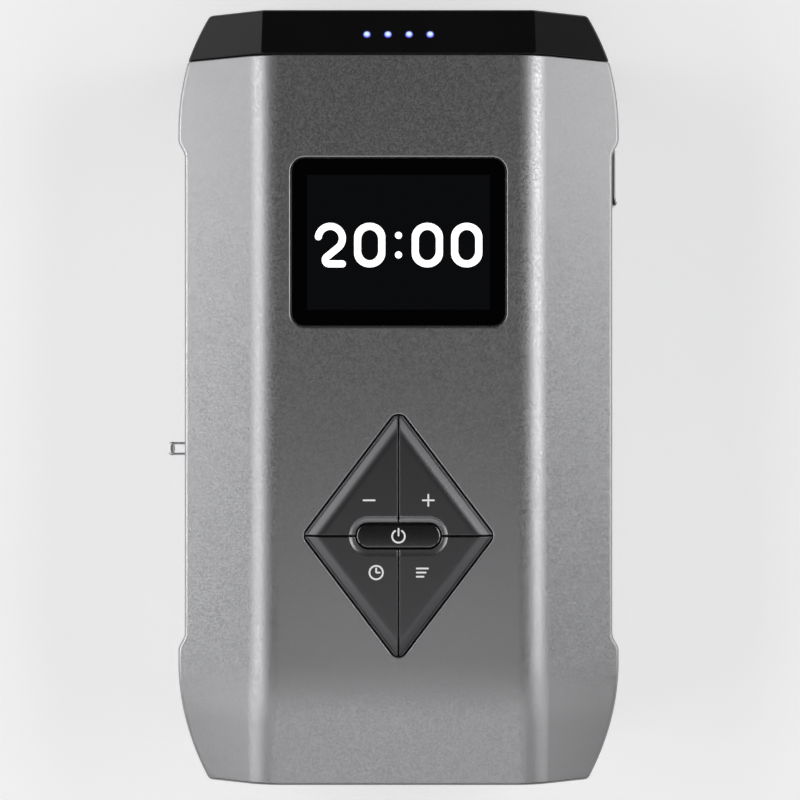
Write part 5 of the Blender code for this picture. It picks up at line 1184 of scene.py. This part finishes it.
FLOOR_GLOW = 0.62
FLOOR_MIRRORED = 0.5
WORLD_LIGHT = 0.01
WORLD_SEEN = 0.9
FOCAL_LENGTH_MM = 92.0
SENSOR_MM = 36.0
CAMERA_PLACE = (0.0004, -0.00087, 0.625)


def soft_box(name, turn, height, width, length, power):
    """Rectangular lamp that faces the object's middle and isn't seen itself."""
    lamp = bpy.data.lights.new(name, "AREA")
    lamp.shape = "RECTANGLE"
    lamp.size, lamp.size_y = width, length
    lamp.energy = power
    made = bpy.data.objects.new(name, lamp)
    bpy.context.scene.collection.objects.link(made)
    turn, height = math.radians(turn), math.radians(height)
    way = Vector((math.cos(turn) * math.cos(height), math.sin(turn) * math.cos(height),
                  math.sin(height)))
    made.location = AIM + LAMP_DISTANCE * way
    made.rotation_euler = way.to_track_quat("Z", "Y").to_euler()
    made.visible_camera = False


def floor():
    """Pale matt floor. It glows a little in the camera's sight and less in mirrors, so that it
    looks white without lighting the object."""
    ring = rectangle(FLOOR_SIZE, FLOOR_SIZE, FLOOR_CORNER)
    plate = upright("floor", [(FLOOR_Z - FLOOR_THICKNESS, ring), (FLOOR_Z, ring)])
    material, tree, shader, where = start_finish("pale_floor", Roughness=0.9)
    mixed = speckle(tree, where, 0.2, "dedede", "e4e4e4", 1.0)
    path = put(tree, "ShaderNodeLightPath").outputs
    mirrored = put(tree, "ShaderNodeMath", {0: path["Is Glossy Ray"], 1: FLOOR_MIRRORED},
                   operation="MULTIPLY")
    sight = put(tree, "ShaderNodeMath", {0: path["Is Camera Ray"], 1: mirrored.outputs[0]},
                operation="MAXIMUM")
    sight = put(tree, "ShaderNodeMath", {0: sight.outputs[0], 1: FLOOR_GLOW}, operation="MULTIPLY")
    tree.links.new(mixed, shader.inputs["Base Color"])
    tree.links.new(mixed, shader.inputs["Emission Color"])
    tree.links.new(sight.outputs[0], shader.inputs["Emission Strength"])
    plate.data.materials.append(material)


def air():
    """World that is white in the camera's sight and gives the object next to no light."""
    world = bpy.data.worlds.new("studio_air")
    world.use_nodes = True
    tree = world.node_tree
    back = tree.nodes["Background"].inputs
    seen = put(tree, "ShaderNodeLightPath").outputs["Is Camera Ray"]
    level = put(tree, "ShaderNodeMix", {"Factor": seen, 2: WORLD_LIGHT, 3: WORLD_SEEN},
                data_type="FLOAT")
    tree.links.new(level.outputs[0], back["Strength"])
    back["Color"].default_value = colour("ffffff")
    bpy.context.scene.world = world


def camera():
    """Camera straight above the control face."""
    lens = bpy.data.cameras.new("camera")
    lens.lens, lens.sensor_width = FOCAL_LENGTH_MM, SENSOR_MM
    made = bpy.data.objects.new("camera", lens)
    bpy.context.scene.collection.objects.link(made)
    made.location = CAMERA_PLACE
    bpy.context.scene.camera = made


def build():
    """The whole object, then the studio round it."""
    upper_casing()
    lower_casing()
    end_cap()
    outlet_sockets()
    lights()
    display()
    numerals()
    quadrant_key("pressure_down_key", -1, 1)
    quadrant_key("pressure_up_key", 1, 1)
    quadrant_key("time_key", -1, -1)
    quadrant_key("mode_key", 1, -1)
    power_key()
    key_marks()
    charging_cover()
    eyelet()
    feet()
    carried_over()
    floor()
    for name, lamp in SOFT_BOXES.items():
        soft_box(name, *lamp)
    air()
    camera()
    bpy.context.scene.view_settings.view_transform = "Standard"


build()
